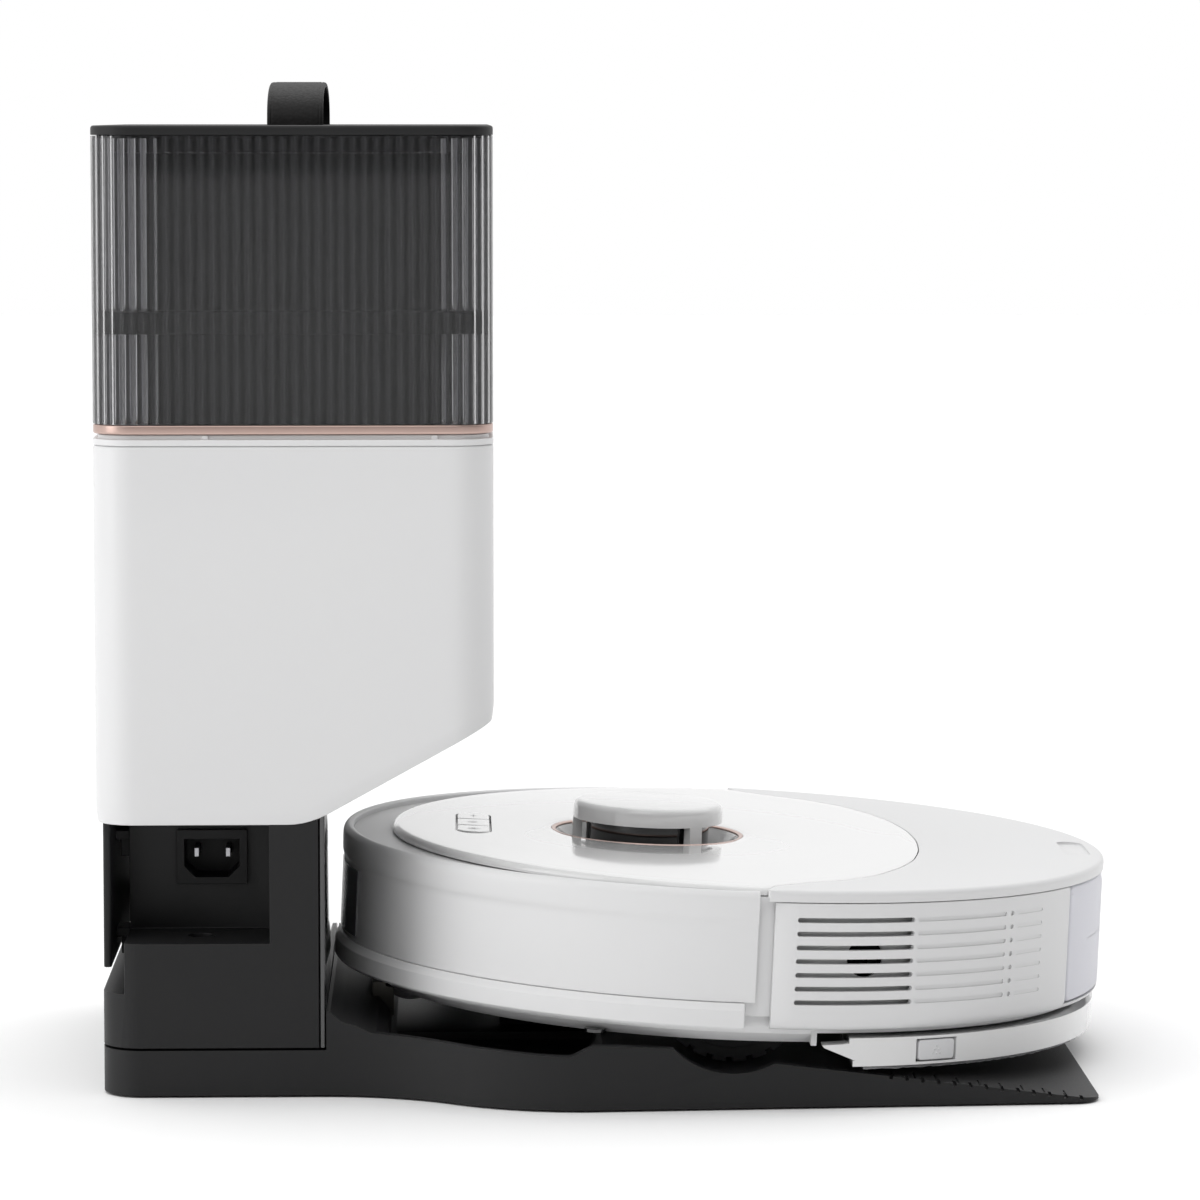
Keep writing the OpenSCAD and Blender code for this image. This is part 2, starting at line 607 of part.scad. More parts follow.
module chassis_pan() color(gloss_white) docked() difference() {
    union() {
        difference() {
            // tray with a bevelled outer edge
            rotate_extrude() polygon([[0, chassis_z], [robot_r - 18, chassis_z], [chassis_r - 1, chassis_z + 5],
                                      [chassis_r, chassis_z + 8], [chassis_r, 34],
                                      [chassis_r - shell_t, 34], [chassis_r - shell_t, chassis_z + 9],
                                      [robot_r - 19, chassis_z + 3], [0, chassis_z + 3]]);
            // raised floor over the mop
            block(mid_x1, 200, -200, 200, 0, rear_floor_z);
        }
        intersection() {
            disc(chassis_r, 0, 60);
            union() {
                block(mid_x1, 200, -200, 200, rear_floor_z, rear_floor_z + 3);
                block(mid_x1 - 2.5, mid_x1, -200, 200, chassis_z, rear_floor_z + 3);
            }
        }
        roller_bay_walls();
        disc(cup_r + 2.5, chassis_z, cup_z + 2.5, caster_x);
        disc(9, cup_z, cup_z + 12, caster_x);
        disc(9, chassis_z, chassis_z + 12, side_brush_x, side_brush_y);
        // ears for the wheel arms' pivots, and walls of the wheel wells
        both_sides() {
            block(arm_pivot_x - 9, arm_pivot_x + 9, well_y0 - 6, well_y0, chassis_z + 3, arm_pivot_z + 9);
            block(-well_x - 2, well_x + 12, well_y0 - 2, well_y0, chassis_z, 40);
            block(-well_x - 2, -well_x, well_y0 - 2, well_y1, chassis_z, 40);
        }
        // posts for the screws that hold deck and chassis together
        for (p = post_places) disc(4.5, chassis_z, 40, p[0], p[1]);
        // boss for the turret's spindle
        disc(7, chassis_z + 2, board_z - 8, turret_x + 15);
    }
    // roller bay
    block(bay_x0, bay_x1, -bay_half, bay_half, 0, bay_top);
    for (x = [roller_x0, roller_x1]) y_rod(3 + run_fit, x, roller_z, -bay_half - 2, bay_half + 2);
    // suction mouth in the bay's roof
    block(-72, -56, -40, 40, bay_top - 1, bay_top + 5);
    // caster
    disc(cup_r, 0, cup_z, caster_x);
    disc(4 + run_fit, 0, cup_z + 14, caster_x);
    // side brush spindle
    disc(3 + run_fit, 0, chassis_z + 10, side_brush_x, side_brush_y);
    both_sides() {
        block(-well_x, mid_x1 + 14, well_y0, well_y1, 0, 40);
        y_rod(4 + run_fit, arm_pivot_x, arm_pivot_z, well_y0 - 8, well_y0 + 1);
    }
    // the water tank reaches in over the rim
    ring_sector(robot_r - 30, robot_r + 5, tank_z0 - gap, 60, -tank_half_angle - 0.4, tank_half_angle + 0.4);
    // cliff sensors and screws come in from below
    for (p = cliff_places) disc(5, 0, chassis_z + 2, p[0], p[1]);
    for (p = post_places) {
        disc(1.6, 0, 30, p[0], p[1]);
        disc(3.4, 0, chassis_z + 2, p[0], p[1]);
    }
    for (y = [-contact_y, contact_y]) disc(7, chassis_z - 1, chassis_z + 0.4, pad_x, y);
}

post_places = [[-25, 96], [-25, -96], [-108, 60], [-108, -60], [20, 80], [20, -80]];
cliff_places = [[-148, 52], [-148, -52], [-60, 152], [-60, -152]];
pad_x = contact_x - robot_x + 0.5;

module chassis_screws() color("#9a9a9c") docked() for (p = post_places) {
    disc(3.2, chassis_z + 0.6, chassis_z + 2, p[0], p[1]);
    disc(1.5, chassis_z + 2, 28, p[0], p[1]);
}

module cliff_sensors() color("#151515") docked() for (p = cliff_places)
    disc(4.9, chassis_z + 0.3, chassis_z + 2, p[0], p[1]);

// ---- robot: shells ----

module slot_cut(z, a0, a1, h, depth) {
    ring_sector(robot_r - depth, robot_r + 2, z - h / 2, z + h / 2, a0, a1);
}

shell_z1 = deck_z - deck_skirt - gap;
shell_a0 = acos((bumper_x1 + 7) / robot_r);      // where the side shell starts
module side_shell() color(white) docked() difference() {
    union() {
        rotate([0, 0, -shell_a0]) rotate_extrude(angle = 2 * shell_a0)
            polygon([[robot_r - 5, 20.5], [robot_r - 1.5, 21.5], [robot_r, 24.5], [robot_r, shell_z1],
                     [robot_r - shell_t, shell_z1], [robot_r - shell_t, 24.5], [robot_r - 5, 23.5]]);
        // inner ledge that the deck is screwed to
        rotate([0, 0, -shell_a0]) rotate_extrude(angle = 2 * shell_a0)
            translate([robot_r - 7, shell_z1 - 3]) square([5, 2.5]);
        // end posts beside the bumper
        both_sides() ring_sector(chassis_r + gap, robot_r - 1, 25, shell_z1 - 1, shell_a0 - 1.3, shell_a0 - 0.1);
    }
    for (s = [-1, 1], i = [0:vent_count - 1]) let (z = vent_z0 + i * vent_pitch) {
        slot_cut(z, min(s * 64, s * 82), max(s * 64, s * 82), 2.1, 5);
        slot_cut(z, min(s * 36, s * 65), max(s * 36, s * 65), 1.9, 0.7);
    }
    // the water tank's opening
    ring_sector(robot_r - 30, robot_r + 5, tank_z0 - gap, tank_z1 + gap, -tank_half_angle - 0.2, tank_half_angle + 0.2);
}

// Everything ahead of the seam, or behind it when grown
module seam_disc(grow) {
    disc(seam_r + grow, 0, 200, seam_x - seam_r);
}

// Body outline with a small round on the upper edge
module deck_disc(r, e = 2) {
    rotate_extrude() polygon(concat([[0, deck_z - deck_skirt]], [[r, deck_z - deck_skirt]],
                                    arc(r - e, deck_z - e, e, 0, 90, 6), [[0, deck_z]]));
}

module top_deck() color(gloss_white) docked() difference() {
    union() {
        intersection() {
            union() {
                intersection() {
                    translate([deck_front_cx, 0, 0]) deck_disc(deck_front_r, 1.2);
                    block(-200, deck_x1, -200, 200, 0, 200);
                }
                intersection() {
                    deck_disc(robot_r);
                    block(deck_x1, 200, -200, 200, 0, 200);
                }
            }
            seam_disc(0);
        }
        // the dish under the turret
        disc(dish_r + 2, dish_z - 2, deck_z - deck_t, turret_x);
    }
    // hollow under the plate
    difference() {
        intersection() {
            translate([deck_front_cx, 0, 0]) disc(deck_front_r - 2, 0, deck_z - deck_t);
            seam_disc(-2);
        }
        disc(dish_r + 2, 0, deck_z, turret_x);
        disc(12, 0, deck_z, button_x, 0);
    }
    disc(dish_r, dish_z, deck_z + 1, turret_x);
    disc(ring_r + 0.1, deck_z - 0.6, deck_z + 1, turret_x);
    // rotor spindle's seat
    disc(4, 0, deck_z, turret_x);
    // button well
    round_block(button_x - button_w / 2 - 0.4, button_x + button_w / 2 + 0.4, -1.5 * button_l - 1, 1.5 * button_l + 1,
                0, deck_z + 1, 6);
}

dish_r = ring_r - 4.9;
dish_z = deck_z - 12;

module turret_ring() color(rose) docked() difference() {
    disc(ring_r, deck_z - 0.6, deck_z + 0.1, turret_x);
    disc(dish_r, deck_z - 2, deck_z + 2, turret_x);
}

leg_r0 = cap_r - 4;
module turret_cap() color(gloss_white) docked() {
    difference() {
        translate([turret_x, 0, 0]) rotate_extrude() polygon(concat(
            [[0, turret_top_z - 3], [leg_r0, turret_top_z - 3], [leg_r0, turret_top_z - 8.5],
             [cap_r + 0.2, turret_top_z - 8.5]],
            arc(cap_r - 3, turret_top_z - 3, 3, 0, 90, 6), [[0, turret_top_z]]));
    }
    intersection() {
        difference() {
            translate([turret_x, 0, 0]) cylinder(r1 = cap_r + 2.8, r2 = cap_r, h = turret_top_z);
            disc(leg_r0, 0, 200, turret_x);
        }
        union() {
            for (a = [180, 52, -52]) translate([turret_x, 0, dish_z]) rotate([0, 0, a])
                translate([leg_r0 - 3, -3.5, 0]) cube([12, 7, turret_top_z - 8.5 - dish_z]);
            disc(dish_r - 0.5, dish_z, dish_z + 2.5, turret_x);
        }
    }
}

rotor_r = cap_r - 6;
module lidar_rotor() color("#101010") docked() difference() {
    union() {
        disc(rotor_r, dish_z + 1, turret_top_z - 4, turret_x);
        disc(4 - run_fit, dish_z - 10, dish_z + 1, turret_x);
    }
    // sight windows for the laser and its sensor
    translate([turret_x - rotor_r - 1, -14, dish_z + 8]) cube([3, 7, 8]);
    translate([turret_x - rotor_r - 1, 6, dish_z + 7]) cube([3, 10, 10]);
}

module key(y0, y1, y_stem) {
    disc(2, board_z - 1.6, deck_z - 4, button_x, y_stem);
    intersection() {
        round_block(button_x - button_w / 2, button_x + button_w / 2, -1.5 * button_l - 0.6, 1.5 * button_l + 0.6,
                    deck_z - 5, deck_z - 0.1, 5.6);
        block(button_x - 20, button_x + 20, y0, y1, 0, 200);
    }
}
module spot_button() color(gloss_white) docked() key(-60, -button_l / 2 - 0.2, -button_l);
module power_button() color(gloss_white) docked() key(-button_l / 2 + 0.2, button_l / 2 - 0.2, 0);
module home_button() color(gloss_white) docked() key(button_l / 2 + 0.2, 60, button_l);

// Lift-off lid over the dustbin, held by magnets in three pegs
module bin_lid() color(white) docked() difference() {
    union() {
        difference() {
            deck_disc(robot_r);
            seam_disc(0.6);
            block(-200, deck_x1, -200, 200, 0, 200);
            // hollow under the plate
            difference() {
                disc(robot_r - 3, 0, deck_z - deck_t);
                seam_disc(3);
            }
        }
        for (p = [[52, 148], [52, -148], [113, 0]]) disc(4, deck_z - 10, deck_z - deck_t + 0.5, p[0], p[1]);
    }
    // finger recess at the back
    round_block(robot_r - 19, robot_r - 7, -22, 22, deck_z - 1.2, deck_z + 1, 4);
}

// ---- robot: bumper ----
bumper_a = acos(bumper_x1 / robot_r);
flange_r = robot_r - 2.9;
flange_cx = 13.6;

module bumper_band(profile) {
    rotate([0, 0, bumper_a]) rotate_extrude(angle = 360 - 2 * bumper_a) polygon(profile);
}

module bumper_shell() color(gloss_white) docked() {
    bumper_band(concat(
        [[wall_r - shell_t, skirt_z1 + 0.1], [wall_r, skirt_z1 + 0.1], [wall_r, deck_z - 15],
         [wall_r + 1, deck_z - 13]],
        arc(robot_r - 4, deck_z - 4.5, 3.2, 0, 80, 5),
        [[wall_r - 3.6, deck_z - 2.6], [wall_r - 3.6, deck_z - 6], [wall_r - shell_t, deck_z - 9]]));
    // the crescent that closes the gap to the deck
    intersection() {
        difference() {
            disc(wall_r - 3.5, deck_z - 5.9, deck_z - 3.6);
            disc(flange_r, 0, 200, flange_cx);
        }
        block(-200, -20, -200, 200, 0, 200);
    }
}

module bumper_skirt() color(gloss_white) docked() {
    rotate([0, 0, bumper_a + 1.5]) rotate_extrude(angle = 360 - 2 * bumper_a - 3)
        polygon([[robot_r - 4.5, skirt_z0], [robot_r + skirt_flare - 1, skirt_z0],
                 [robot_r + skirt_flare, skirt_z0 + 1.2], [robot_r + skirt_flare - 0.3, skirt_z1 - 3],
                 [wall_r + 0.6, skirt_z1], [robot_r - 4.5, skirt_z1]]);
}

window_half = 17;
module bumper_window() color("#232326") docked()
    ring_sector(wall_r, wall_r + 0.7, skirt_z1 + 3, deck_z - 17, 180 - window_half, 180 + window_half);

// ---- robot: running gear ----

module drive_wheel(s) {
    color("#1e1e1e") docked() translate([0, s * wheel_y, wheel_r]) rotate([90, 0, 0]) {
        difference() {
            translate([0, 0, -wheel_w / 2]) cylinder(r = wheel_r, h = wheel_w);
            translate([0, 0, -wheel_w]) cylinder(r = wheel_r - 6, h = 2 * wheel_w);
            for (a = [0:15:345]) rotate([0, 0, a]) translate([wheel_r - 1.8, -1.4, -wheel_w])
                cube([4, 2.8, 2 * wheel_w]);
        }
        difference() {
            translate([0, 0, -wheel_w / 2 + 1]) cylinder(r = wheel_r - 6, h = wheel_w - 2);
            translate([0, 0, -wheel_w]) cylinder(r = 5 + run_fit, h = 2 * wheel_w);
        }
    }
}

module wheel_arm(s) {
    color("#3a3a3c") docked() {
        y0 = s > 0 ? wheel_y - wheel_w / 2 - 13 : -wheel_y + wheel_w / 2 + 1;
        difference() {
            union() {
                y_rod(20, 0, wheel_r, y0, y0 + 12);
                y_rod(8, arm_pivot_x, arm_pivot_z, y0, y0 + 12);
                translate([0, y0, wheel_r]) rotate([0, -atan2(arm_pivot_z - wheel_r, arm_pivot_x), 0])
                    translate([0, 0.5, -7]) cube([norm([arm_pivot_x, arm_pivot_z - wheel_r]), 11, 14]);
            }
        }
        // wheel axle and pivot stub
        y_rod(5, 0, wheel_r, s > 0 ? y0 + 12 : -wheel_y - wheel_w / 2 + 3, s > 0 ? wheel_y + wheel_w / 2 - 3 : y0);
        y_rod(4, arm_pivot_x, arm_pivot_z, s > 0 ? well_y0 - 6 : y0 + 12, s > 0 ? y0 : -well_y0 + 6);
    }
}

module caster_fork() color("#303032") docked() difference() {
    union() {
        disc(cup_r - 1.5, cup_z - 4, cup_z - 1, caster_x);
        disc(4, cup_z - 2, cup_z + 12, caster_x);
        for (s = [-1, 1]) intersection() {
            block(caster_x - 7, caster_x + 7, s * 11 - 1.5, s * 11 + 1.5, caster_r - 6, cup_z - 3);
            disc(cup_r - 1.5, 0, 60, caster_x);
        }
    }
    y_rod(2, caster_x, caster_r, -20, 20);
}

module caster_wheel() color("#d8d8d8") docked() {
    y_rod(caster_r, caster_x, caster_r, -8, 8);
    y_rod(2 - run_fit, caster_x, caster_r, -12.5, -8);
    y_rod(2 - run_fit, caster_x, caster_r, 8, 12.5);
}

module side_brush() color("#e4e4e4") docked() translate([side_brush_x, side_brush_y, 0]) {
    disc(11, 3.2, chassis_z - 1);
    disc(3, chassis_z - 1, chassis_z + 9);
    for (a = [20:120:260]) rotate([0, 0, a]) translate([0, -1.6, 1.4]) cube([side_brush_r, 3.2, 1.9]);
}

module roller(x, lean) {
    color("#38383b") docked() translate([x, 0, roller_z]) rotate([90, 0, 0]) {
        translate([0, 0, -roller_l / 2]) cylinder(r = 9, h = roller_l);
        translate([0, 0, -bay_half - 1.5]) cylinder(r = 3, h = 2 * bay_half + 3);
        for (a = [lean:60:lean + 300]) rotate([0, 0, a])
            translate([5, -1, 1 - roller_l / 2]) cube([roller_r - 5, 2, roller_l - 2]);
    }
}

module brush_frame() color("#2a2a2c") docked() difference() {
    round_block(bay_x0 - 1.5, bay_x1 + 1.5, -bay_half - 2.5, bay_half + 2.5, chassis_z - 4, chassis_z - 0.1, 6);
    block(bay_x0 + 4, bay_x1 - 4, -bay_half + 3, bay_half - 3, 0, 30);
    y_rod(roller_r + 0.8, roller_x0, roller_z, -bay_half, bay_half);
    y_rod(roller_r + 0.8, roller_x1, roller_z, -bay_half, bay_half);
}

// ---- robot: inside ----

module main_board() color("#2f6b46") docked() {
    difference() {
        block(-128, -2, -78, 78, board_z - 4, board_z - 2.4);
        disc(16, 0, 100, turret_x);
    }
    for (p = [[-100, -40], [-90, 30], [-20, 50], [-25, -60]])
        block(p[0], p[0] + 16, p[1], p[1] + 16, board_z - 2.4, board_z - 0.4);
}

module battery_pack() color("#4d545c") docked() round_block(-128, -100, -55, 55, 40, 54, 4);

module blower_housing() color("#2c2c2e") docked() difference() {
    y_rod(blower_r, blower_x, blower_z, blower_y0, blower_y1);
    y_rod(blower_r - 3, blower_x, blower_z, blower_y0 + 10, blower_y1 - 3);
    y_rod(2.5 + run_fit, blower_x, blower_z, blower_y0 + 2, blower_y0 + 12);
    y_rod(11, blower_x, blower_z, blower_y1 - 5, blower_y1 + 1);
    for (a = [0:60:300]) translate([blower_x, 0, blower_z]) rotate([0, a, 0])
        translate([12, blower_y0 - 1, -3]) cube([5, 14, 6]);
}

module blower_impeller() color("#b5b5b8") docked() {
    y = blower_y0 + 16;
    y_rod(blower_r - 5, blower_x, blower_z, y, y + 2);
    y_rod(6, blower_x, blower_z, y + 2, y + 16);
    y_rod(2.5, blower_x, blower_z, blower_y0 + 3, y);
    for (a = [0:45:315]) translate([blower_x, y + 2, blower_z]) rotate([0, a, 0])
        translate([5, 0, -0.7]) cube([blower_r - 11, 12, 1.4]);
}

module dustbin() color("#8a8a92", 0.6) docked() difference() {
    round_block(bin_x0, bin_x1, -72, 72, tank_z0, deck_z - 9, 5);
    round_block(bin_x0 + 2, bin_x1 - 2, -70, 70, tank_z0 + 2, deck_z + 1, 3);
    block(bin_x0 - 1, bin_x0 + 4, -40, 40, tank_z0 + 4, tank_z0 + 26);
    block(bin_x0 + 10, bin_x1 - 8, -75, -68, tank_z0 + 8, deck_z - 16);
}

module dustbin_filter() color("#dddfe2") docked() difference() {
    block(bin_x0 + 9, bin_x1 - 7, -80, -72.3, tank_z0 + 7, deck_z - 15);
    for (i = [0:6]) block(bin_x0 + 12 + i * 4.6, bin_x0 + 14 + i * 4.6, -82, -74, tank_z0 + 9, deck_z - 17);
}

module water_tank() color("#c9c9d6", 0.7) docked() difference() {
    ring_sector(tank_r0, robot_r - 0.2, tank_z0, tank_z1, -tank_half_angle, tank_half_angle);
    ring_sector(tank_r0 + 2.5, robot_r - 2.7, tank_z0 + 2.5, tank_z1 - 2.5, -tank_half_angle + 1.2, tank_half_angle - 1.2);
    // filler opening
    disc(7, tank_z1 - 4, tank_z1 + 1, tank_r0 + 28, -30);
}

// ---- robot: mop ----

module mop_plan(r, x0, z0, z1) {
    intersection() {
        disc(r, z0, z1);
        block(x0, 200, -200, 200, z0, z1);
    }
}

module mop_carriage() color("#c4c4c8") docked() difference() {
    round_block(mop_x0 + 14, mop_x0 + 84, -80, 80, mop_z0 + 5.6, rear_floor_z - 0.3, 8);
    block(mop_x0 + 24, mop_x0 + 74, -70, 70, mop_z0 + 8.6, rear_floor_z + 1);
}

module mop_bracket() color(gloss_white) docked() difference() {
    union() {
        mop_plan(mop_r, mop_x0, mop_z0, mop_z0 + 2.6);
        difference() {
            mop_plan(mop_r, mop_x0 + 6, mop_z0, mop_z1);
            disc(mop_r - 9, 0, 60);
        }
        // forward hooks at both ends
        both_sides() hook();
    }
    for (s = [-1, 1])
        ring_sector(mop_r - 7.4, mop_r + 2, mop_z0 + 1.2, mop_z1 - 1.2, s * latch_angle - latch_half - 0.15,
                    s * latch_angle + latch_half + 0.15);
}

module hook() {
    intersection() {
        difference() {
            disc(mop_r, 0, 40);
            disc(mop_r - 9, 0, 40);
        }
        translate([0, 200, 0]) rotate([90, 0, 0]) linear_extrude(200)
            polygon([[38, mop_z1 - 3], [39, mop_z1 - 4.2], [mop_x0 + 8, mop_z0 - 0.2], [mop_x0 + 8, mop_z1],
                     [50, mop_z1], [50, mop_z1 - 2.4]]);
    }
}

module mop_cloth() color("#8f8f90") docked()
    mop_plan(mop_r - 4, mop_x0 + 4, mop_z0 - 2, mop_z0 - 0.05);

module mop_latch(s) {
    color("#dcdcdc") docked()
        ring_sector(mop_r - 4.9, mop_r + 0.2, mop_z0 + 1.5, mop_z1 - 1.5, s * latch_angle - latch_half,
                    s * latch_angle + latch_half);
}

base_tray();
base_pan();
rubber_feet();
base_screws();
column_shell();
front_panel();
cord_plate();
inlet_socket();
inlet_pins();
tower_housing();
tower_collar();
bag_bay();
dust_bag();
motor_housing();
motor_impeller();
exhaust_filter();
air_duct();
duct_seal();
charge_contacts();
cover_shell();
cover_lid();
strap_handle();
cover_band();
chassis_pan();
side_shell();
top_deck();
turret_ring();
turret_cap();
main_board();
battery_pack();
blower_housing();
blower_impeller();
dustbin();
dustbin_filter();
brush_frame();
cliff_sensors();
chassis_screws();
bumper_shell();
bumper_skirt();
bumper_window();
lidar_rotor();
home_button();
power_button();
spot_button();
bin_lid();
water_tank();
mop_carriage();
mop_bracket();
mop_cloth();
mop_latch(-1);  // mop_latch_left
mop_latch(1);  // mop_latch_right
wheel_arm(-1);  // wheel_arm_left
wheel_arm(1);  // wheel_arm_right
drive_wheel(-1);  // drive_wheel_left
drive_wheel(1);  // drive_wheel_right
caster_fork();
caster_wheel();
side_brush();
roller(roller_x0, 0);  // front_roller
roller(roller_x1, 30);  // rear_roller
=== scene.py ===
"""Looks for a robot vacuum parked on its self-emptying dock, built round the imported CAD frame.

Lengths are millimetres inside the classes and are turned to metres when a mesh is made. Robot pieces
are worked out level, in the robot's own axes, and set down on the dock by the robot's parked placement.
"""
import json
import logging
import math
from dataclasses import dataclass
from enum import Enum

import bmesh
import bpy
import numpy as np
from mathutils import Matrix, Vector

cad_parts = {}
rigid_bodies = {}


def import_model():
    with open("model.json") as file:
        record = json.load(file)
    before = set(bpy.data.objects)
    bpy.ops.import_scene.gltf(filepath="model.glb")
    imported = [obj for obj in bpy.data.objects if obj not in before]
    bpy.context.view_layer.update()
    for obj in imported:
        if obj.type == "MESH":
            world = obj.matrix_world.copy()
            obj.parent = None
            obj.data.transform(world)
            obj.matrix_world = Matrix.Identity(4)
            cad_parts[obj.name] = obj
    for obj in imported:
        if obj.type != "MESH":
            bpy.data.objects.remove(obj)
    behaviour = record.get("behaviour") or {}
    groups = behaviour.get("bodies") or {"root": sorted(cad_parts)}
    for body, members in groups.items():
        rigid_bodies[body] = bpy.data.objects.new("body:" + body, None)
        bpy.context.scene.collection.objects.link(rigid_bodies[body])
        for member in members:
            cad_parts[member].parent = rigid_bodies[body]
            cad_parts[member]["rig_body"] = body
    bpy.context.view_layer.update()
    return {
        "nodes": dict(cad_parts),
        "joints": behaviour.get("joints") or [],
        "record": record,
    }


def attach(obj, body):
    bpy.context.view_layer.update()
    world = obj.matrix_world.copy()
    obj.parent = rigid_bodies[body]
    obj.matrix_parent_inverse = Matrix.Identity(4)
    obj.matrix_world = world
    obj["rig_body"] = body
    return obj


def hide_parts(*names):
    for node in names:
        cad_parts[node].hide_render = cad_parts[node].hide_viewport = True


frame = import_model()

Piece = bpy.types.Object
Tree = bpy.types.NodeTree
log = logging.getLogger("scene")
MM = 0.001
JOINTS = {joint["name"]: joint for joint in frame["joints"]}
SLOTS = {part["node"]: part["material_slot"] for part in frame["record"]["subparts"]}
# the left wheel's axle in the robot's own axes
AXLE = np.array([0.0, -126.0, 35.0])
# points of the piece's mesh closer than this many metres are one point
WELD = 2e-6


# ---- placement

def parked_matrix() -> np.ndarray:
    """Placement of the robot on the dock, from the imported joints.

    The undocking slide runs along the robot's own long axis, which gives the pitch, and the left wheel's
    axle lies at AXLE in the robot's axes, which gives the origin.

    Returns:
        A 4x4 matrix that takes millimetres in the robot's axes to millimetres in the row frame.
    """
    along = np.array(JOINTS["robot_undock"]["axis"], float)
    up = np.array([-along[2], 0.0, along[0]])
    turn = np.stack([along, [0.0, 1.0, 0.0], up], axis=1)
    axle = np.array(JOINTS["wheel_left_spin"]["pos_m"]) / MM
    place = np.eye(4)
    place[:3, :3] = turn
    place[:3, 3] = axle - turn @ AXLE
    return place


PARKED = parked_matrix()
LEVEL = np.eye(4)


# ---- finishes

def linear(colour: str) -> tuple[float, float, float, float]:
    """Turns an sRGB hex colour into linear RGBA.

    Args:
        colour: six hex digits with a leading #.

    Returns:
        Red, green, blue and alpha, where c <= 0.04045 uses c / 12.92 and the rest ((c + 0.055) / 1.055) ** 2.4.
    """
    parts = [int(colour[i:i + 2], 16) / 255 for i in (1, 3, 5)]
    return tuple(c / 12.92 if c <= 0.04045 else ((c + 0.055) / 1.055) ** 2.4 for c in parts) + (1.0,)


def add(tree: Tree, kind: str, inputs: dict | None = None, **settings) -> bpy.types.Node:
    """Adds one shader node.

    Args:
        tree: the node tree to add to.
        kind: the node's type name.
        inputs: socket name or number to a value, or to a socket to link from.
        settings: properties set on the node itself.

    Returns:
        The new node.
    """
    made = tree.nodes.new(kind)
    for key, value in settings.items():
        setattr(made, key, value)
    for key, value in (inputs or {}).items():
        if isinstance(value, bpy.types.NodeSocket):
            tree.links.new(value, made.inputs[key])
        else:
            made.inputs[key].default_value = value
    return made


class Relief(Enum):
    """How a surface was made, which decides its fine relief."""

    POLISHED = "polished"
    SPARKED = "sparked"
    LEATHER = "leather"
    BRUSHED = "brushed"
    WOVEN = "woven"
    PILE = "pile"


# how fast a colour wanders, in waves per metre, and how far the relief moves the roughness
CLOUD_SCALE = 9.0
ROUGH_SPREAD = (0.9, 1.12)
BUMP_STRENGTH = 0.6
COAT_ROUGHNESS = 0.04


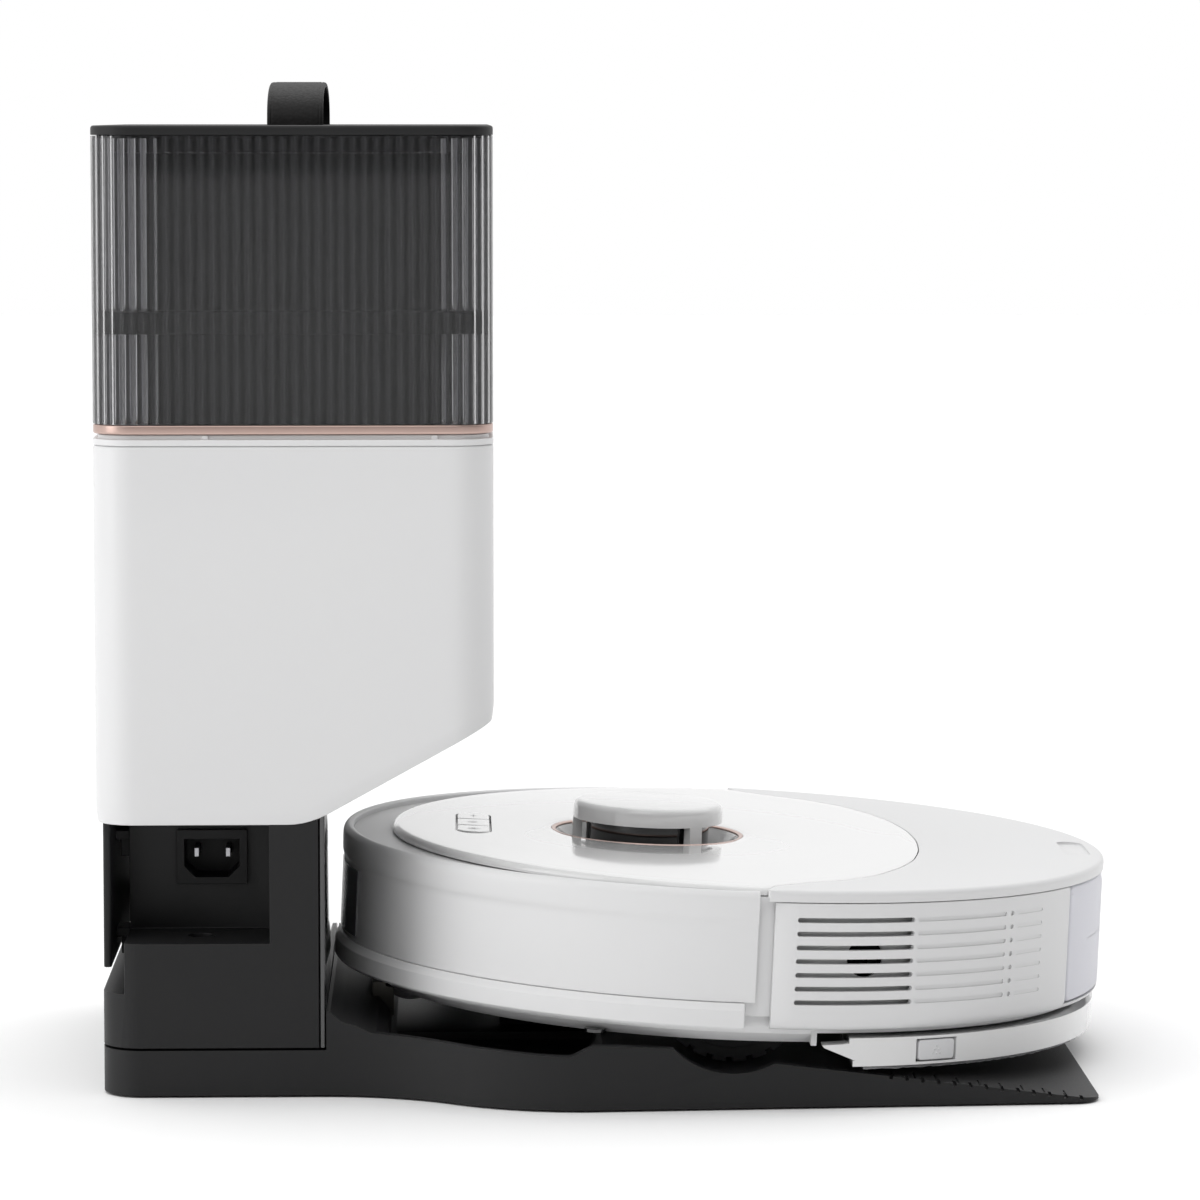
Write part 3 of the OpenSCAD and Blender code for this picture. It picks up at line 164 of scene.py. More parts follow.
@dataclass(frozen=True)
class Finish:
    """One real finish: what it is made of, how it was made, and the size of its relief in millimetres.

    Its colour wanders to shade. Grain is the relief's width, depth its height and stretch its longer way. Clear is
    the share of light let through, and thin the lighter colour where the piece's thinness attribute is 1: partly
    the thin wall's own clearer tint, partly a painted highlight that stands in for the light stripes of a fluted
    wall.
    """

    name: str
    colour: str
    shade: str
    rough: float
    relief: Relief = Relief.SPARKED
    grain: float = 0.7
    depth: float = 0.02
    metal: float = 0.0
    ior: float = 1.5
    coat: float = 0.0
    sheen: float = 0.0
    clear: float = 0.0
    stretch: tuple[float, float, float] = (1.0, 1.0, 1.0)
    thin: str = ""

    def height(self, tree: Tree) -> bpy.types.NodeSocket:
        """Adds the relief's pattern and returns its height socket, on the piece's own Object coordinates."""
        place = add(tree, "ShaderNodeTexCoord").outputs["Object"]
        scaled = add(tree, "ShaderNodeMapping", {"Vector": place, "Scale": self.stretch}).outputs[0]
        per_metre = 1 / (self.grain * MM)
        if self.relief is Relief.LEATHER:
            # pebbled hide: rounded cells with creases between them
            return add(tree, "ShaderNodeTexVoronoi", {"Vector": scaled, "Scale": per_metre}).outputs["Distance"]
        if self.relief is Relief.WOVEN:
            # threads both ways, of which the higher one shows
            rows, ends = (add(tree, "ShaderNodeTexWave", {"Vector": scaled, "Scale": per_metre / 6.28,
                                                          "Distortion": 0.4},
                              wave_type="BANDS", bands_direction=way).outputs["Fac"] for way in "XY")
            return add(tree, "ShaderNodeMath", {0: rows, 1: ends}, operation="MAXIMUM").outputs[0]
        detail = 4.0 if self.relief is Relief.PILE else 2.0
        return add(tree, "ShaderNodeTexNoise",
                   {"Vector": scaled, "Scale": per_metre, "Detail": detail, "Roughness": 0.6}).outputs["Fac"]

    def material(self) -> bpy.types.Material:
        """Builds the material once and reuses it.

        Returns:
            A Principled material whose colour wanders between colour and shade over some centimetres, whose
            roughness varies by a tenth, and whose bump is the relief. Where the piece has a thinness attribute and
            thin is set, the colour goes to the lighter thin colour and the haze clears where the wall is thin:
            partly the thin wall's own clearer tint, partly a painted highlight that stands in for the light stripes
            of a fluted wall.
        """
        ready = bpy.data.materials.get(self.name)
        if ready:
            return ready
        made = bpy.data.materials.new(self.name)
        made.use_nodes = True
        tree = made.node_tree
        tree.nodes.clear()
        place = add(tree, "ShaderNodeTexCoord").outputs["Object"]
        cloud = add(tree, "ShaderNodeTexNoise",
                    {"Vector": place, "Scale": CLOUD_SCALE, "Detail": 3.0}).outputs["Fac"]
        tone = add(tree, "ShaderNodeMix", {0: cloud, 6: linear(self.colour), 7: linear(self.shade)},
                   data_type="RGBA").outputs[2]
        clear: float | bpy.types.NodeSocket = self.clear
        # painted highlight: the lighter colour on the thin part of each flute stands in for the fluted wall's light
        # stripes, over the thin wall's own clearer tint
        if self.thin:
            wall = add(tree, "ShaderNodeAttribute", attribute_name="thinness_and_flute_light").outputs["Fac"]
            tone = add(tree, "ShaderNodeMix", {0: wall, 6: tone, 7: linear(self.thin)},
                       data_type="RGBA").outputs[2]
            clear = add(tree, "ShaderNodeMapRange",
                        {"Value": wall, "To Min": self.clear, "To Max": 1.0}).outputs[0]
        relief = self.height(tree)
        smooth, coarse = (min(1.0, self.rough * share) for share in ROUGH_SPREAD)
        rough = add(tree, "ShaderNodeMapRange", {"Value": relief, "To Min": smooth, "To Max": coarse}).outputs[0]
        bump = add(tree, "ShaderNodeBump", {"Height": relief, "Strength": BUMP_STRENGTH,
                                            "Distance": self.depth * MM})
        values = {"Base Color": tone, "Roughness": rough, "Metallic": self.metal, "Normal": bump.outputs[0],
                  "Coat Weight": self.coat, "Coat Roughness": COAT_ROUGHNESS, "Sheen Weight": self.sheen,
                  "Transmission Weight": clear}
        if not self.metal:
            values["IOR"] = self.ior
        shader = add(tree, "ShaderNodeBsdfPrincipled", values)
        add(tree, "ShaderNodeOutputMaterial", {"Surface": shader.outputs[0]})
        return made


# satin white ABS from a spark-eroded mould: soft highlights, a very fine even grain
WHITE_ABS = Finish("white_abs_satin", "#dcdcdc", "#d9d9da", 0.38, depth=0.012, coat=0.05)
# high gloss white ABS: clear mirror reflections over a milky body
GLOSS_ABS = Finish("white_abs_gloss", "#dcdcdc", "#dadada", 0.12, Relief.POLISHED, 30.0, 0.02, coat=0.8)
# textured black ABS of the dock: grey sheen at grazing light
DOCK_ABS = Finish("black_abs_textured", "#19191a", "#161617", 0.5, grain=0.9, depth=0.05, ior=1.38)
# polished black panel that the robot's nose faces
PANEL_ABS = Finish("black_abs_gloss", "#232324", "#1e1e1f", 0.1, Relief.POLISHED, 40.0, 0.02, coat=0.9)
# black ABS of hidden mouldings
INNER_ABS = Finish("black_abs_plain", "#171718", "#131314", 0.55, depth=0.03, ior=1.35)
# smoked polycarbonate, fluted on its inside: dark where something stands behind it, grey where light passes,
# with a lighter colour painted on the thin part of each flute, partly the thinner wall's clearer tint and partly a
# painted highlight for the flutes' light stripes; the low IOR keeps the wall's mirror as weak as it looks in soft
# light
SMOKED_PC = Finish("smoked_polycarbonate", "#8c8c90", "#88888d", 0.07, Relief.POLISHED, 60.0, 0.01, ior=1.36,
                   clear=0.94, thin="#dededf")
# anodised aluminium in rose: a warm satin metal line
ROSE_METAL = Finish("rose_anodised", "#c2a9a0", "#baa198", 0.3, Relief.BRUSHED, 0.5, 0.01, metal=0.85,
                    stretch=(1.0, 1.0, 6.0))
# black embossed leather of the strap: broken, soft highlights on small pebbles
LEATHER = Finish("strap_leather", "#161515", "#111010", 0.58, Relief.LEATHER, 1.5, 0.2, ior=1.33)
# black rubber of feet, seals and rollers: nearly no shine
RUBBER = Finish("black_rubber", "#1f1f20", "#1a1a1b", 0.75, grain=0.8, depth=0.04)
# zinc-plated steel of screws, pins and fans: a fine brushed grey mirror
STEEL = Finish("zinc_plated_steel", "#b9b9bc", "#a9a9ad", 0.32, Relief.BRUSHED, 0.6, 0.01, metal=1.0)
# nickel-plated charging contacts: a darker, warmer metal
NICKEL = Finish("nickel_plate", "#6f6d68", "#66645f", 0.3, Relief.BRUSHED, 0.6, 0.01, metal=1.0)
# non-woven dust bag: pale felted fibres
BAG_FLEECE = Finish("bag_fleece", "#d3cdc3", "#c6c0b5", 0.9, Relief.WOVEN, 1.6, 0.15, sheen=0.3)
# pleated filter paper: pale, matt and finely woven
FILTER_PAPER = Finish("filter_paper", "#e4e7e8", "#d6dadc", 0.85, Relief.WOVEN, 0.9, 0.05)
# solder mask on the circuit board: green lacquer
SOLDER_MASK = Finish("green_circuit_board", "#2c6a45", "#245c3b", 0.35, grain=2.2, depth=0.02)
# heat-shrunk PVC sleeve of the battery: a wavy, waxy shine
SHRINK_WRAP = Finish("battery_wrap", "#56606b", "#4b545e", 0.3, Relief.POLISHED, 20.0, 0.1)
# clear grey polycarbonate of the dustbin
SMOKE_BIN = Finish("smoky_bin", "#9b9ba3", "#92929a", 0.1, Relief.POLISHED, 40.0, 0.01, clear=0.8)
# frosted lilac polypropylene of the water tank: milky, so that light spreads inside its wall
TANK_PP = Finish("lilac_frosted_pp", "#efeff6", "#eaeaf2", 0.42, depth=0.02, clear=0.25)
# infrared window plastic: black to the eye, with a full mirror
WINDOW = Finish("infrared_window", "#141415", "#101011", 0.06, Relief.POLISHED, 40.0, 0.01, coat=1.0)
# tinted pane of the bumper's sensors: an even grey strip
SENSOR_PANE = Finish("sensor_pane", "#7c7c7f", "#77777a", 0.2, Relief.POLISHED, 40.0, 0.01)
# pad-printed ink of the key symbols
PRINT_INK = Finish("grey_print", "#9c9c9e", "#969698", 0.5, depth=0.005)
# soft tyre of the drive wheels: dull black
TYRE = Finish("tyre_rubber", "#232324", "#1c1c1d", 0.8, grain=0.7, depth=0.08)
# tufted microfibre of the mop: coarse pile, drawn wider than its real loops so that it shows
MOP_PILE = Finish("mop_microfibre", "#8f8f91", "#6f6f72", 0.95, Relief.PILE, 1.4, 0.9, sheen=0.5)
# light grey ABS of the latches and the mop carriage
GREY_ABS = Finish("light_grey_abs", "#dadadb", "#d1d1d3", 0.4, depth=0.02)
# white nylon bristles of the side brush
NYLON = Finish("white_nylon", "#e6e6e6", "#dcdcdc", 0.45, depth=0.02)
# matt white studio floor
FLOOR_PAINT = Finish("studio_floor", "#ffffff", "#fefefe", 0.95, grain=3.0, depth=0.001)


# ---- mesh tools

def to_frame(points: np.ndarray, place: np.ndarray) -> np.ndarray:
    """Millimetres in a piece's axes to metres in the row frame."""
    flat = np.asarray(points, float).reshape(-1, 3)
    return (flat @ place[:3, :3].T + place[:3, 3]) * MM


def make_mesh(name: str, points: np.ndarray, faces: list, place: np.ndarray = LEVEL,
              sharp: float = 35.0) -> Piece:
    """Makes a mesh object at the origin, with welded seams, outward faces and smooth shading.

    Args:
        name: the piece's name.
        points: vertex positions in millimetres.
        faces: vertex numbers of each face.
        place: placement of the piece's axes in the row frame.
        sharp: edges that turn by more than this many degrees stay sharp.

    Returns:
        The new object.
    """
    mesh = bpy.data.meshes.new(name)
    mesh.from_pydata(to_frame(points, place).tolist(), [], [list(map(int, face)) for face in faces])
    work = bmesh.new()
    work.from_mesh(mesh)
    bmesh.ops.remove_doubles(work, verts=work.verts, dist=WELD)
    bmesh.ops.recalc_face_normals(work, faces=work.faces)
    work.to_mesh(mesh)
    work.free()
    return link(name, mesh, sharp)


def link(name: str, mesh: bpy.types.Mesh, sharp: float) -> Piece:
    """Puts a mesh into the scene with smooth faces and the given sharp-edge angle."""
    mesh.shade_smooth()
    mesh.set_sharp_from_angle(angle=math.radians(sharp))
    made = bpy.data.objects.new(name, mesh)
    bpy.context.scene.collection.objects.link(made)
    return made


def grid_faces(rows: int, cols: int, ring: bool = False, loop: bool = False) -> list:
    """Quads of a grid of rows by cols points; ring closes each row on itself and loop the last row on the first."""
    i = np.arange(rows if loop else rows - 1)[:, None]
    j = np.arange(cols if ring else cols - 1)[None, :]
    a, b = i * cols + j, i * cols + (j + 1) % cols
    c, d = ((i + 1) % rows) * cols + (j + 1) % cols, ((i + 1) % rows) * cols + j
    return np.stack(np.broadcast_arrays(a, b, c, d), axis=-1).reshape(-1, 4).tolist()


def quarter(edge: float | np.ndarray, spans: int) -> list:
    """Steps of a rounded edge: pairs of edge (1 - sin t) and edge (1 - cos t) for t from 0 to 90 degrees."""
    return [(edge * (1 - math.sin(t)), edge * (1 - math.cos(t))) for t in np.linspace(0, np.pi / 2, spans + 1)]


def bend(radius: float | np.ndarray, angle: np.ndarray, height: float | np.ndarray) -> np.ndarray:
    """Points (r cos a, r sin a, z) round the upright axis."""
    return np.column_stack(np.broadcast_arrays(radius * np.cos(angle), radius * np.sin(angle), height))


def mirrored(side: int, low: float, high: float) -> tuple[float, float]:
    """The span from low to high for side 1, and its mirror image for side -1, lower end first."""
    return (low, high) if side > 0 else (-high, -low)


def soft(corners: list, radius: float | list, steps: int = 4, closed: bool = True) -> np.ndarray:
    """Rounds the corners of a polyline.

    Each corner is replaced by a curve that leaves the two sides at a tangent: a quadratic Bezier whose ends lie
    one radius (or at most 0.45 of the side) from the corner.

    Args:
        corners: the polyline's (a, b) points.
        radius: one radius, or one for each corner; 0 keeps a corner.
        steps: spans on each curve.
        closed: whether the last point joins the first.

    Returns:
        An (n, 2) array.
    """
    p = np.array(corners, float)
    radii = np.broadcast_to(np.asarray(radius, float), (len(p),))
    before, after = np.roll(p, 1, axis=0) - p, np.roll(p, -1, axis=0) - p
    reach_a = np.minimum(radii, 0.45 * np.linalg.norm(before, axis=1))
    reach_b = np.minimum(radii, 0.45 * np.linalg.norm(after, axis=1))
    unit = lambda v: v / np.maximum(np.linalg.norm(v, axis=1, keepdims=True), 1e-9)
    start, end = p + unit(before) * reach_a[:, None], p + unit(after) * reach_b[:, None]
    t = np.linspace(0, 1, steps + 1)[None, :, None]
    curve = (1 - t) ** 2 * start[:, None] + 2 * t * (1 - t) * p[:, None] + t ** 2 * end[:, None]
    rows = []
    for k in range(len(p)):
        keep = radii[k] <= 0 or (not closed and k in (0, len(p) - 1))
        rows.append(p[k:k + 1] if keep else curve[k])
    return np.concatenate(rows)


def lathe(name: str, profile: np.ndarray, start: float, end: float, centre: tuple[float, float] = (0.0, 0.0),
          spans: int = 96) -> Piece:
    """Carries a closed profile of (radius, height) round one of the robot's upright axes, in degrees.

    A point is (cx + r cos a, cy + r sin a, z). A full turn closes on itself, and a partial one gets flat ends.
    """
    full = abs(end - start) >= 359.9
    count = spans if full else spans + 1
    angle = np.radians(start + (end - start) * np.arange(count) / spans)
    radius, height = profile[:, 0], profile[:, 1]
    points = np.stack([centre[0] + np.cos(angle)[:, None] * radius, centre[1] + np.sin(angle)[:, None] * radius,
                       np.broadcast_to(height, (count, len(height)))], axis=-1)
    return stack(name, points, PARKED, loop=full)


def rounded(x0: float, x1: float, y0: float, y1: float, radius: float, inset: float = 0.0,
            steps: int = 14, side: int = 1) -> np.ndarray:
    """Outline of a rectangle with quarter-circle corners, shrunk by inset, anticlockwise.

    Args:
        x0, x1, y0, y1: the rectangle before it is shrunk.
        radius: corner radius before it is shrunk.
        inset: how far the outline moves inwards.
        steps: spans on each corner.
        side: spans on each straight side.
    """
    r = max(radius - inset, 0.05)
    a0, a1, b0, b1 = x0 + inset + r, x1 - inset - r, y0 + inset + r, y1 - inset - r
    turn = np.linspace(0, np.pi / 2, steps + 1)
    parts = []
    centres = [(a1, b1), (a0, b1), (a0, b0), (a1, b0)]
    for first, ((cx, cy), (nx, ny)) in enumerate(zip(centres, centres[1:] + centres[:1])):
        t = turn + first * np.pi / 2
        corner = np.stack([cx + r * np.cos(t), cy + r * np.sin(t)], axis=1)
        last = (first + 1) * np.pi / 2
        target = np.array([nx + r * math.cos(last), ny + r * math.sin(last)])
        fill = corner[-1] + (target - corner[-1]) * (np.arange(1, side) / side)[:, None]
        parts += [corner, fill]
    return np.concatenate(parts)


def stack(name: str, rings: list | np.ndarray, place: np.ndarray = LEVEL, sharp: float = 35.0,
          loop: bool = False) -> Piece:
    """Joins rings of the same number of points into a closed body, with flat caps unless it loops."""
    points = np.stack(rings)
    size = points.shape[1]
    faces = grid_faces(len(rings), size, ring=True, loop=loop)
    if not loop:
        faces += [list(range(size)), list(range((len(rings) - 1) * size, len(rings) * size))]
    return make_mesh(name, points, faces, place, sharp)


def slab(name: str, box: tuple, radius: float, edge: float, place: np.ndarray = LEVEL, steps: int = 14,
         edge_low: float | None = None) -> Piece:
    """An upright slab with rounded corners in plan, and quarter-round top and bottom edges.

    Args:
        name: the piece's name.
        box: x0, x1, y0, y1, z0, z1 in millimetres.
        radius: corner radius in plan.
        edge: radius of the top edge.
        place: placement of the piece's axes.
        steps: spans on each corner.
        edge_low: radius of the bottom edge, or the top's.
    """
    x0, x1, y0, y1, z0, z1 = box
    low = edge if edge_low is None else edge_low
    rows = [(inset, z0 + rise) for inset, rise in quarter(low, 4)]
    rows += [(inset, z1 - drop) for inset, drop in quarter(edge, 4)[::-1]]
    return stack(name, [lift(rounded(x0, x1, y0, y1, radius, inset, steps), z) for inset, z in rows], place)


def refine(node: str, bevel: float = 0.5, sharp: float = 28.0) -> Piece:
    """Stands in for a CAD node with a welded copy of its mesh that has small rounded edges.

    Args:
        node: the CAD node.
        bevel: width of the rounded edges in millimetres; 0 leaves them sharp.
        sharp: faces that meet at more than this many degrees get a rounded edge.
    """
    mesh = frame["nodes"][node].data.copy()
    mesh.materials.clear()
    work = bmesh.new()
    work.from_mesh(mesh)
    bmesh.ops.remove_doubles(work, verts=work.verts, dist=WELD)
    bmesh.ops.dissolve_limit(work, angle_limit=math.radians(0.6), verts=work.verts, edges=work.edges)
    work.to_mesh(mesh)
    work.free()
    made = link(node + "_shape", mesh, sharp)
    return ease(made, bevel, sharp, 2) if bevel else made


def settle(piece: Piece, finish: Finish, body: str, slot: str, *nodes: str) -> Piece:
    """Gives a piece its finish, the body it rides on and the CAD nodes it stands for."""
    piece.data.materials.clear()
    piece.data.materials.append(finish.material())
    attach(piece, body)
    if nodes:
        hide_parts(*nodes)
    log.info("%s: %d vertices on %s", piece.name, len(piece.data.vertices), body)
    return piece


def ease(piece: Piece, width: float, sharp: float = 30.0, segments: int = 3) -> Piece:
    """Rounds a piece's sharp edges by width millimetres."""
    rounding = piece.modifiers.new("rounded_edges", "BEVEL")
    rounding.width, rounding.segments = width * MM, segments
    rounding.limit_method, rounding.angle_limit = "ANGLE", math.radians(sharp)
    rounding.use_clamp_overlap = True
    rounding.harden_normals = True
    return piece


def merge(name: str, *pieces: Piece, sharp: float = 35.0) -> Piece:
    """Gathers closed bodies of one moulding into a single mesh object and removes the originals."""
    work = bmesh.new()
    for piece in pieces:
        work.from_mesh(piece.data)
    mesh = bpy.data.meshes.new(name)
    work.to_mesh(mesh)
    work.free()
    for piece in pieces:
        bpy.data.meshes.remove(piece.data)
    return link(name, mesh, sharp)


def carve(piece: Piece, *cutters: Piece, sharp: float = 30.0) -> Piece:
    """Subtracts closed cutters from a piece for good, exactly, and removes them."""
    cutter = merge(piece.name + "_cutter", *cutters)
    cut = piece.modifiers.new("cut", "BOOLEAN")
    cut.operation, cut.solver, cut.object = "DIFFERENCE", "EXACT", cutter
    cut.use_self = True
    bpy.context.view_layer.update()
    done = bpy.data.meshes.new_from_object(piece.evaluated_get(bpy.context.evaluated_depsgraph_get()))
    piece.modifiers.clear()
    piece.data = done
    done.shade_smooth()
    done.set_sharp_from_angle(angle=math.radians(sharp))
    bpy.data.meshes.remove(cutter.data)
    return piece


def even(outline: np.ndarray, count: int) -> np.ndarray:
    """Resamples a closed outline at count points that are equally spaced along it."""
    closed = np.vstack([outline, outline[:1]])
    run = np.concatenate([[0], np.cumsum(np.linalg.norm(np.diff(closed, axis=0), axis=1))])
    at = np.arange(count) / count * run[-1]
    return np.column_stack([np.interp(at, run, closed[:, 0]), np.interp(at, run, closed[:, 1])])


def outward(outline: np.ndarray) -> np.ndarray:
    """Unit normals of an anticlockwise outline, pointing out."""
    along = np.roll(outline, -1, axis=0) - np.roll(outline, 1, axis=0)
    normal = np.column_stack([along[:, 1], -along[:, 0]])
    return normal / np.linalg.norm(normal, axis=1, keepdims=True)


def lift(outline: np.ndarray, height: float | np.ndarray) -> np.ndarray:
    """Sets a flat outline at a height, or at one height for each point."""
    return np.column_stack([outline, np.broadcast_to(height, (len(outline),))])


# ---- dock tower

@dataclass
class Tower:
    """The white motor housing, whose front underside slopes up over the robot."""

    x0: float = -229.2
    x1: float = -53.7
    half: float = 131.0
    corner: float = 18.0
    z0: float = 121.0
    z1: float = 287.4
    slope_x: float = -135.2
    slope_deg: float = 28.8
    blend: float = 9.0
    facet: float = 6.5
    facet_in: float = 0.9
    facet_run: float = 12.0
    top_edge: float = 1.6

    def underside(self, x: np.ndarray) -> np.ndarray:
        """Height of the underside: z0 behind slope_x, a straight slope ahead of it, and a parabola of length
        2 blend between them, z0 + tan(slope) (x - slope_x + blend)^2 / (4 blend)."""
        run = x - self.slope_x
        rise = math.tan(math.radians(self.slope_deg))
        bend = rise * (run + self.blend) ** 2 / (4 * self.blend)
        return self.z0 + np.where(run < -self.blend, 0.0, np.where(run < self.blend, bend, rise * run))

    def outline(self, inset: float) -> np.ndarray:
        """The housing's plan, shrunk by inset."""
        return rounded(self.x0, self.x1, -self.half, self.half, self.corner, inset, 12, 40)

    def ring(self, inset: float, low: float) -> np.ndarray:
        """A ring of the lower edge: the outline shrunk by inset, low millimetres above the underside."""
        outline = self.outline(inset)
        return lift(outline, self.underside(outline[:, 0]) + low)

    def build(self) -> None:
        """Makes the housing: bottom rows, a softened facet, the wall and a rounded top edge."""
        rings = [self.ring(inset, 0.0) for inset in np.linspace(self.half - 44.0, self.facet_run, 16)]
        facet = soft([(self.facet_run, 0), (self.facet_in, 0), (0, self.facet), (0, self.facet + 9)],
                     [0, 0.5, 1.2, 0], 5, closed=False)
        rings += [self.ring(inset, low) for inset, low in facet[1:]]
        wall_foot = rings[-1]
        for share in (0.25, 0.5, 0.75):
            ring = wall_foot.copy()
            ring[:, 2] += share * (self.z1 - 6 - ring[:, 2])
            rings.append(ring)
        for inset, drop in quarter(self.top_edge, 5)[::-1]:
            rings.append(lift(self.outline(inset), self.z1 - drop))
        settle(stack("tower_housing_shell", rings), WHITE_ABS, "dock", "white_abs", "tower_housing")


@dataclass
class Cover:
    """The lift-off dust cover: a smoked shell with inner flutes, its lid, its rose band and the leather strap."""

    x0: float = -229.2
    x1: float = -53.7
    half: float = 131.0
    corner: float = 18.0
    band_z: float = 292.4
    z0: float = 296.5
    z1: float = 422.1
    lid_z: float = 426.5
    wall: float = 2.2
    flute: float = 5.1
    flute_depth: float = 0.9
    strap_half: float = 65.0
    strap_w: float = 25.0
    strap_t: float = 2.6
    strap_rise: float = 19.5
    strap_sunk: float = 2.9

    def shell(self) -> None:
        """Smooth outside, fluted inside: at a run s along the inside the wall is
        wall - flute_depth (1 + cos(2 pi s / flute)) / 2 thick, so that each flute is a rounded upright lens."""
        base = rounded(self.x0, self.x1, -self.half, self.half, self.corner, 0.0, 16, 60)
        length = np.linalg.norm(np.roll(base, -1, axis=0) - base, axis=1).sum()
        flutes = round(length / self.flute)
        per_flute = 10
        outline = even(base, flutes * per_flute)
        normal = outward(outline)
        wave = (1 - np.cos(2 * np.pi * np.arange(len(outline)) / per_flute)) / 2
        inner = outline - normal * (self.wall - self.flute_depth * (1 - wave))[:, None]
        rings = [lift(outline - normal * inset, self.z0 + 0.1 + rise) for inset, rise in quarter(0.5, 3)]
        rings += [lift(outline, self.z1 - 0.1), lift(inner, self.z1 - 0.1)]
        rings += [lift(inner, z) for z in (self.z1 - 40, self.z0 + 40)] + [lift(inner, self.z0 + 0.1)]
        piece = stack("cover_fluted_shell", rings, loop=True, sharp=60)
        # how thin the wall is behind each point, from 0 to 1: the haze gathers where a flute makes it thick, and
        # the lighter colour where it is thin is a painted highlight for the flutes' light stripes
        piece.data.attributes.new("thinness_and_flute_light", "FLOAT", "POINT").data.foreach_set(
            "value", np.tile(1 - wave ** 2, len(rings)))
        settle(piece, SMOKED_PC, "cover", "smoked", "cover_shell")

    def lid(self) -> None:
        """A thin slab with a soft upper edge, a locating step inside the shell and a pad that closes the bay."""
        rim = slab("cover_lid_top", (self.x0, self.x1, -self.half, self.half, self.z1 + 0.25, self.lid_z),
                   self.corner, 1.3, edge_low=0.3)
        inset = self.wall + 0.5
        step = slab("cover_lid_step", (self.x0 + inset, self.x1 - inset, -self.half + inset, self.half - inset,
                                       self.z1 - 1.2, self.z1 + 0.6), self.corner - inset, 0.2)
        pad = slab("cover_lid_pad", (-206.0, -74.0, -105.0, 105.0, 414.9, self.z1), 8.0, 0.6)
        settle(merge("cover_lid_slab", rim, step, pad), DOCK_ABS, "cover", "dock_black", "cover_lid")

    def band(self) -> None:
        """The metal band: a ring with a slightly crowned face between two hairline chamfers."""
        profile = soft([(0.4, self.band_z), (0.0, self.band_z + 0.6), (0.0, self.z0 - 0.6), (0.4, self.z0),
                        (2.7, self.z0), (2.7, self.band_z)], [0.3, 0.4, 0.4, 0.3, 0, 0], 3)
        rings = [lift(rounded(self.x0, self.x1, -self.half, self.half, self.corner, inset + 0.15, 14, 4), z)
                 for inset, z in profile]
        settle(stack("cover_rose_band", rings, loop=True), ROSE_METAL, "cover", "rose", "cover_band")

    def strap(self) -> None:
        """The carrying strap: a padded section carried along an arch rise sin(a)^0.55 high over -half cos(a).

        The section is strap_w wide and strap_t thick with round edges and a line pressed in 1.8 mm from each edge.
        """
        angle = np.radians(180 * (1 - np.cos(np.linspace(0, np.pi, 73))) / 2)
        w, t = self.strap_w / 2, self.strap_t / 2
        rise, reach = self.strap_rise + self.strap_sunk - t, self.strap_half - t
        y, z = -reach * np.cos(angle), self.lid_z - self.strap_sunk + rise * np.sin(angle) ** 0.55
        along = np.column_stack([np.gradient(y), np.gradient(z)])
        along /= np.linalg.norm(along, axis=1, keepdims=True)
        across = np.column_stack([-along[:, 1], along[:, 0]])
        section = soft([(-w, -t), (w, -t), (w, t * 0.75), (w - 1.5, t), (w - 1.9, t * 0.78), (w - 2.3, t), (0, t),
                        (2.3 - w, t), (1.9 - w, t * 0.78), (1.5 - w, t), (-w, t * 0.75)],
                       [0.9, 0.9, 0.8, 0.4, 0.2, 0.4, 0, 0.4, 0.2, 0.4, 0.8], 3)
        centre = (self.x0 + self.x1) / 2
        rings = [np.column_stack([centre + section[:, 0], y[k] + across[k, 0] * section[:, 1],
                                  z[k] + across[k, 1] * section[:, 1]]) for k in range(len(y))]
        settle(stack("carrying_strap", rings), LEATHER, "cover", "strap", "strap_handle")

    def build(self) -> None:
        """Makes the four pieces of the cover."""
        self.shell()
        self.lid()
        self.band()
        self.strap()


@dataclass
class DustBag:
    """The part-filled disposable bag that hangs in the bay under the cover."""

    x: tuple[float, float] = (-199.2, -80.7)
    half: float = 92.0
    z: tuple[float, float] = (289.4, 398.5)

    def build(self) -> None:
        """A pillow: the outline at height share t is inset by 16 (1 - (4 t (1 - t))^0.35), and slumped folds of up
        to 2.4 mm run down it, fading towards the glued top and bottom."""
        rings = []
        count = 240
        for t in np.linspace(0.0, 1.0, 41):
            swell = (4 * t * (1 - t)) ** 0.35
            inset = 2.5 + 16 * (1 - swell)
            outline = even(rounded(self.x[0], self.x[1], -self.half, self.half, 30, inset, 12, 12), count)
            turn = np.arange(count) / count * 2 * np.pi
            fold = 1.2 * (np.sin(9 * turn + 4 * t) + 0.6 * np.sin(17 * turn - 7 * t)
                          + 0.4 * np.sin(5 * turn + 11 * t))
            outline = outline - outward(outline) * (swell * (1.2 + fold))[:, None]
            rings.append(lift(outline, self.z[0] + t * (self.z[1] - self.z[0])))
        piece = settle(stack("paper_dust_bag", rings), BAG_FLEECE, "dock", "paper_bag", "dust_bag")


# ---- robot, in its own axes

def outline_from(centre: tuple[float, float], boundary: np.ndarray, count: int) -> np.ndarray:
    """Resamples a boundary by angle about a centre that sees all of it.

    Args:
        centre: the point inside the boundary.
        boundary: points along the closed boundary, in any direction.
        count: number of even angles.

    Returns:
        Points at the even angles, anticlockwise, whose radius is interpolated between the boundary's points.
    """
    rel = boundary - np.array(centre)
    angle = np.arctan2(rel[:, 1], rel[:, 0]) % (2 * np.pi)
    order = np.argsort(angle)
    at = np.arange(count) / count * 2 * np.pi
    radius = np.interp(at, angle[order], np.linalg.norm(rel, axis=1)[order], period=2 * np.pi)
    return np.array(centre) + radius[:, None] * np.column_stack([np.cos(at), np.sin(at)])


def arc(centre_x: float, radius: float, start: float, end: float, count: int) -> np.ndarray:
    """Points of a circle arc about (centre_x, 0), with angles in degrees."""
    a = np.radians(np.linspace(start, end, count))
    return np.column_stack([centre_x + radius * np.cos(a), radius * np.sin(a)])


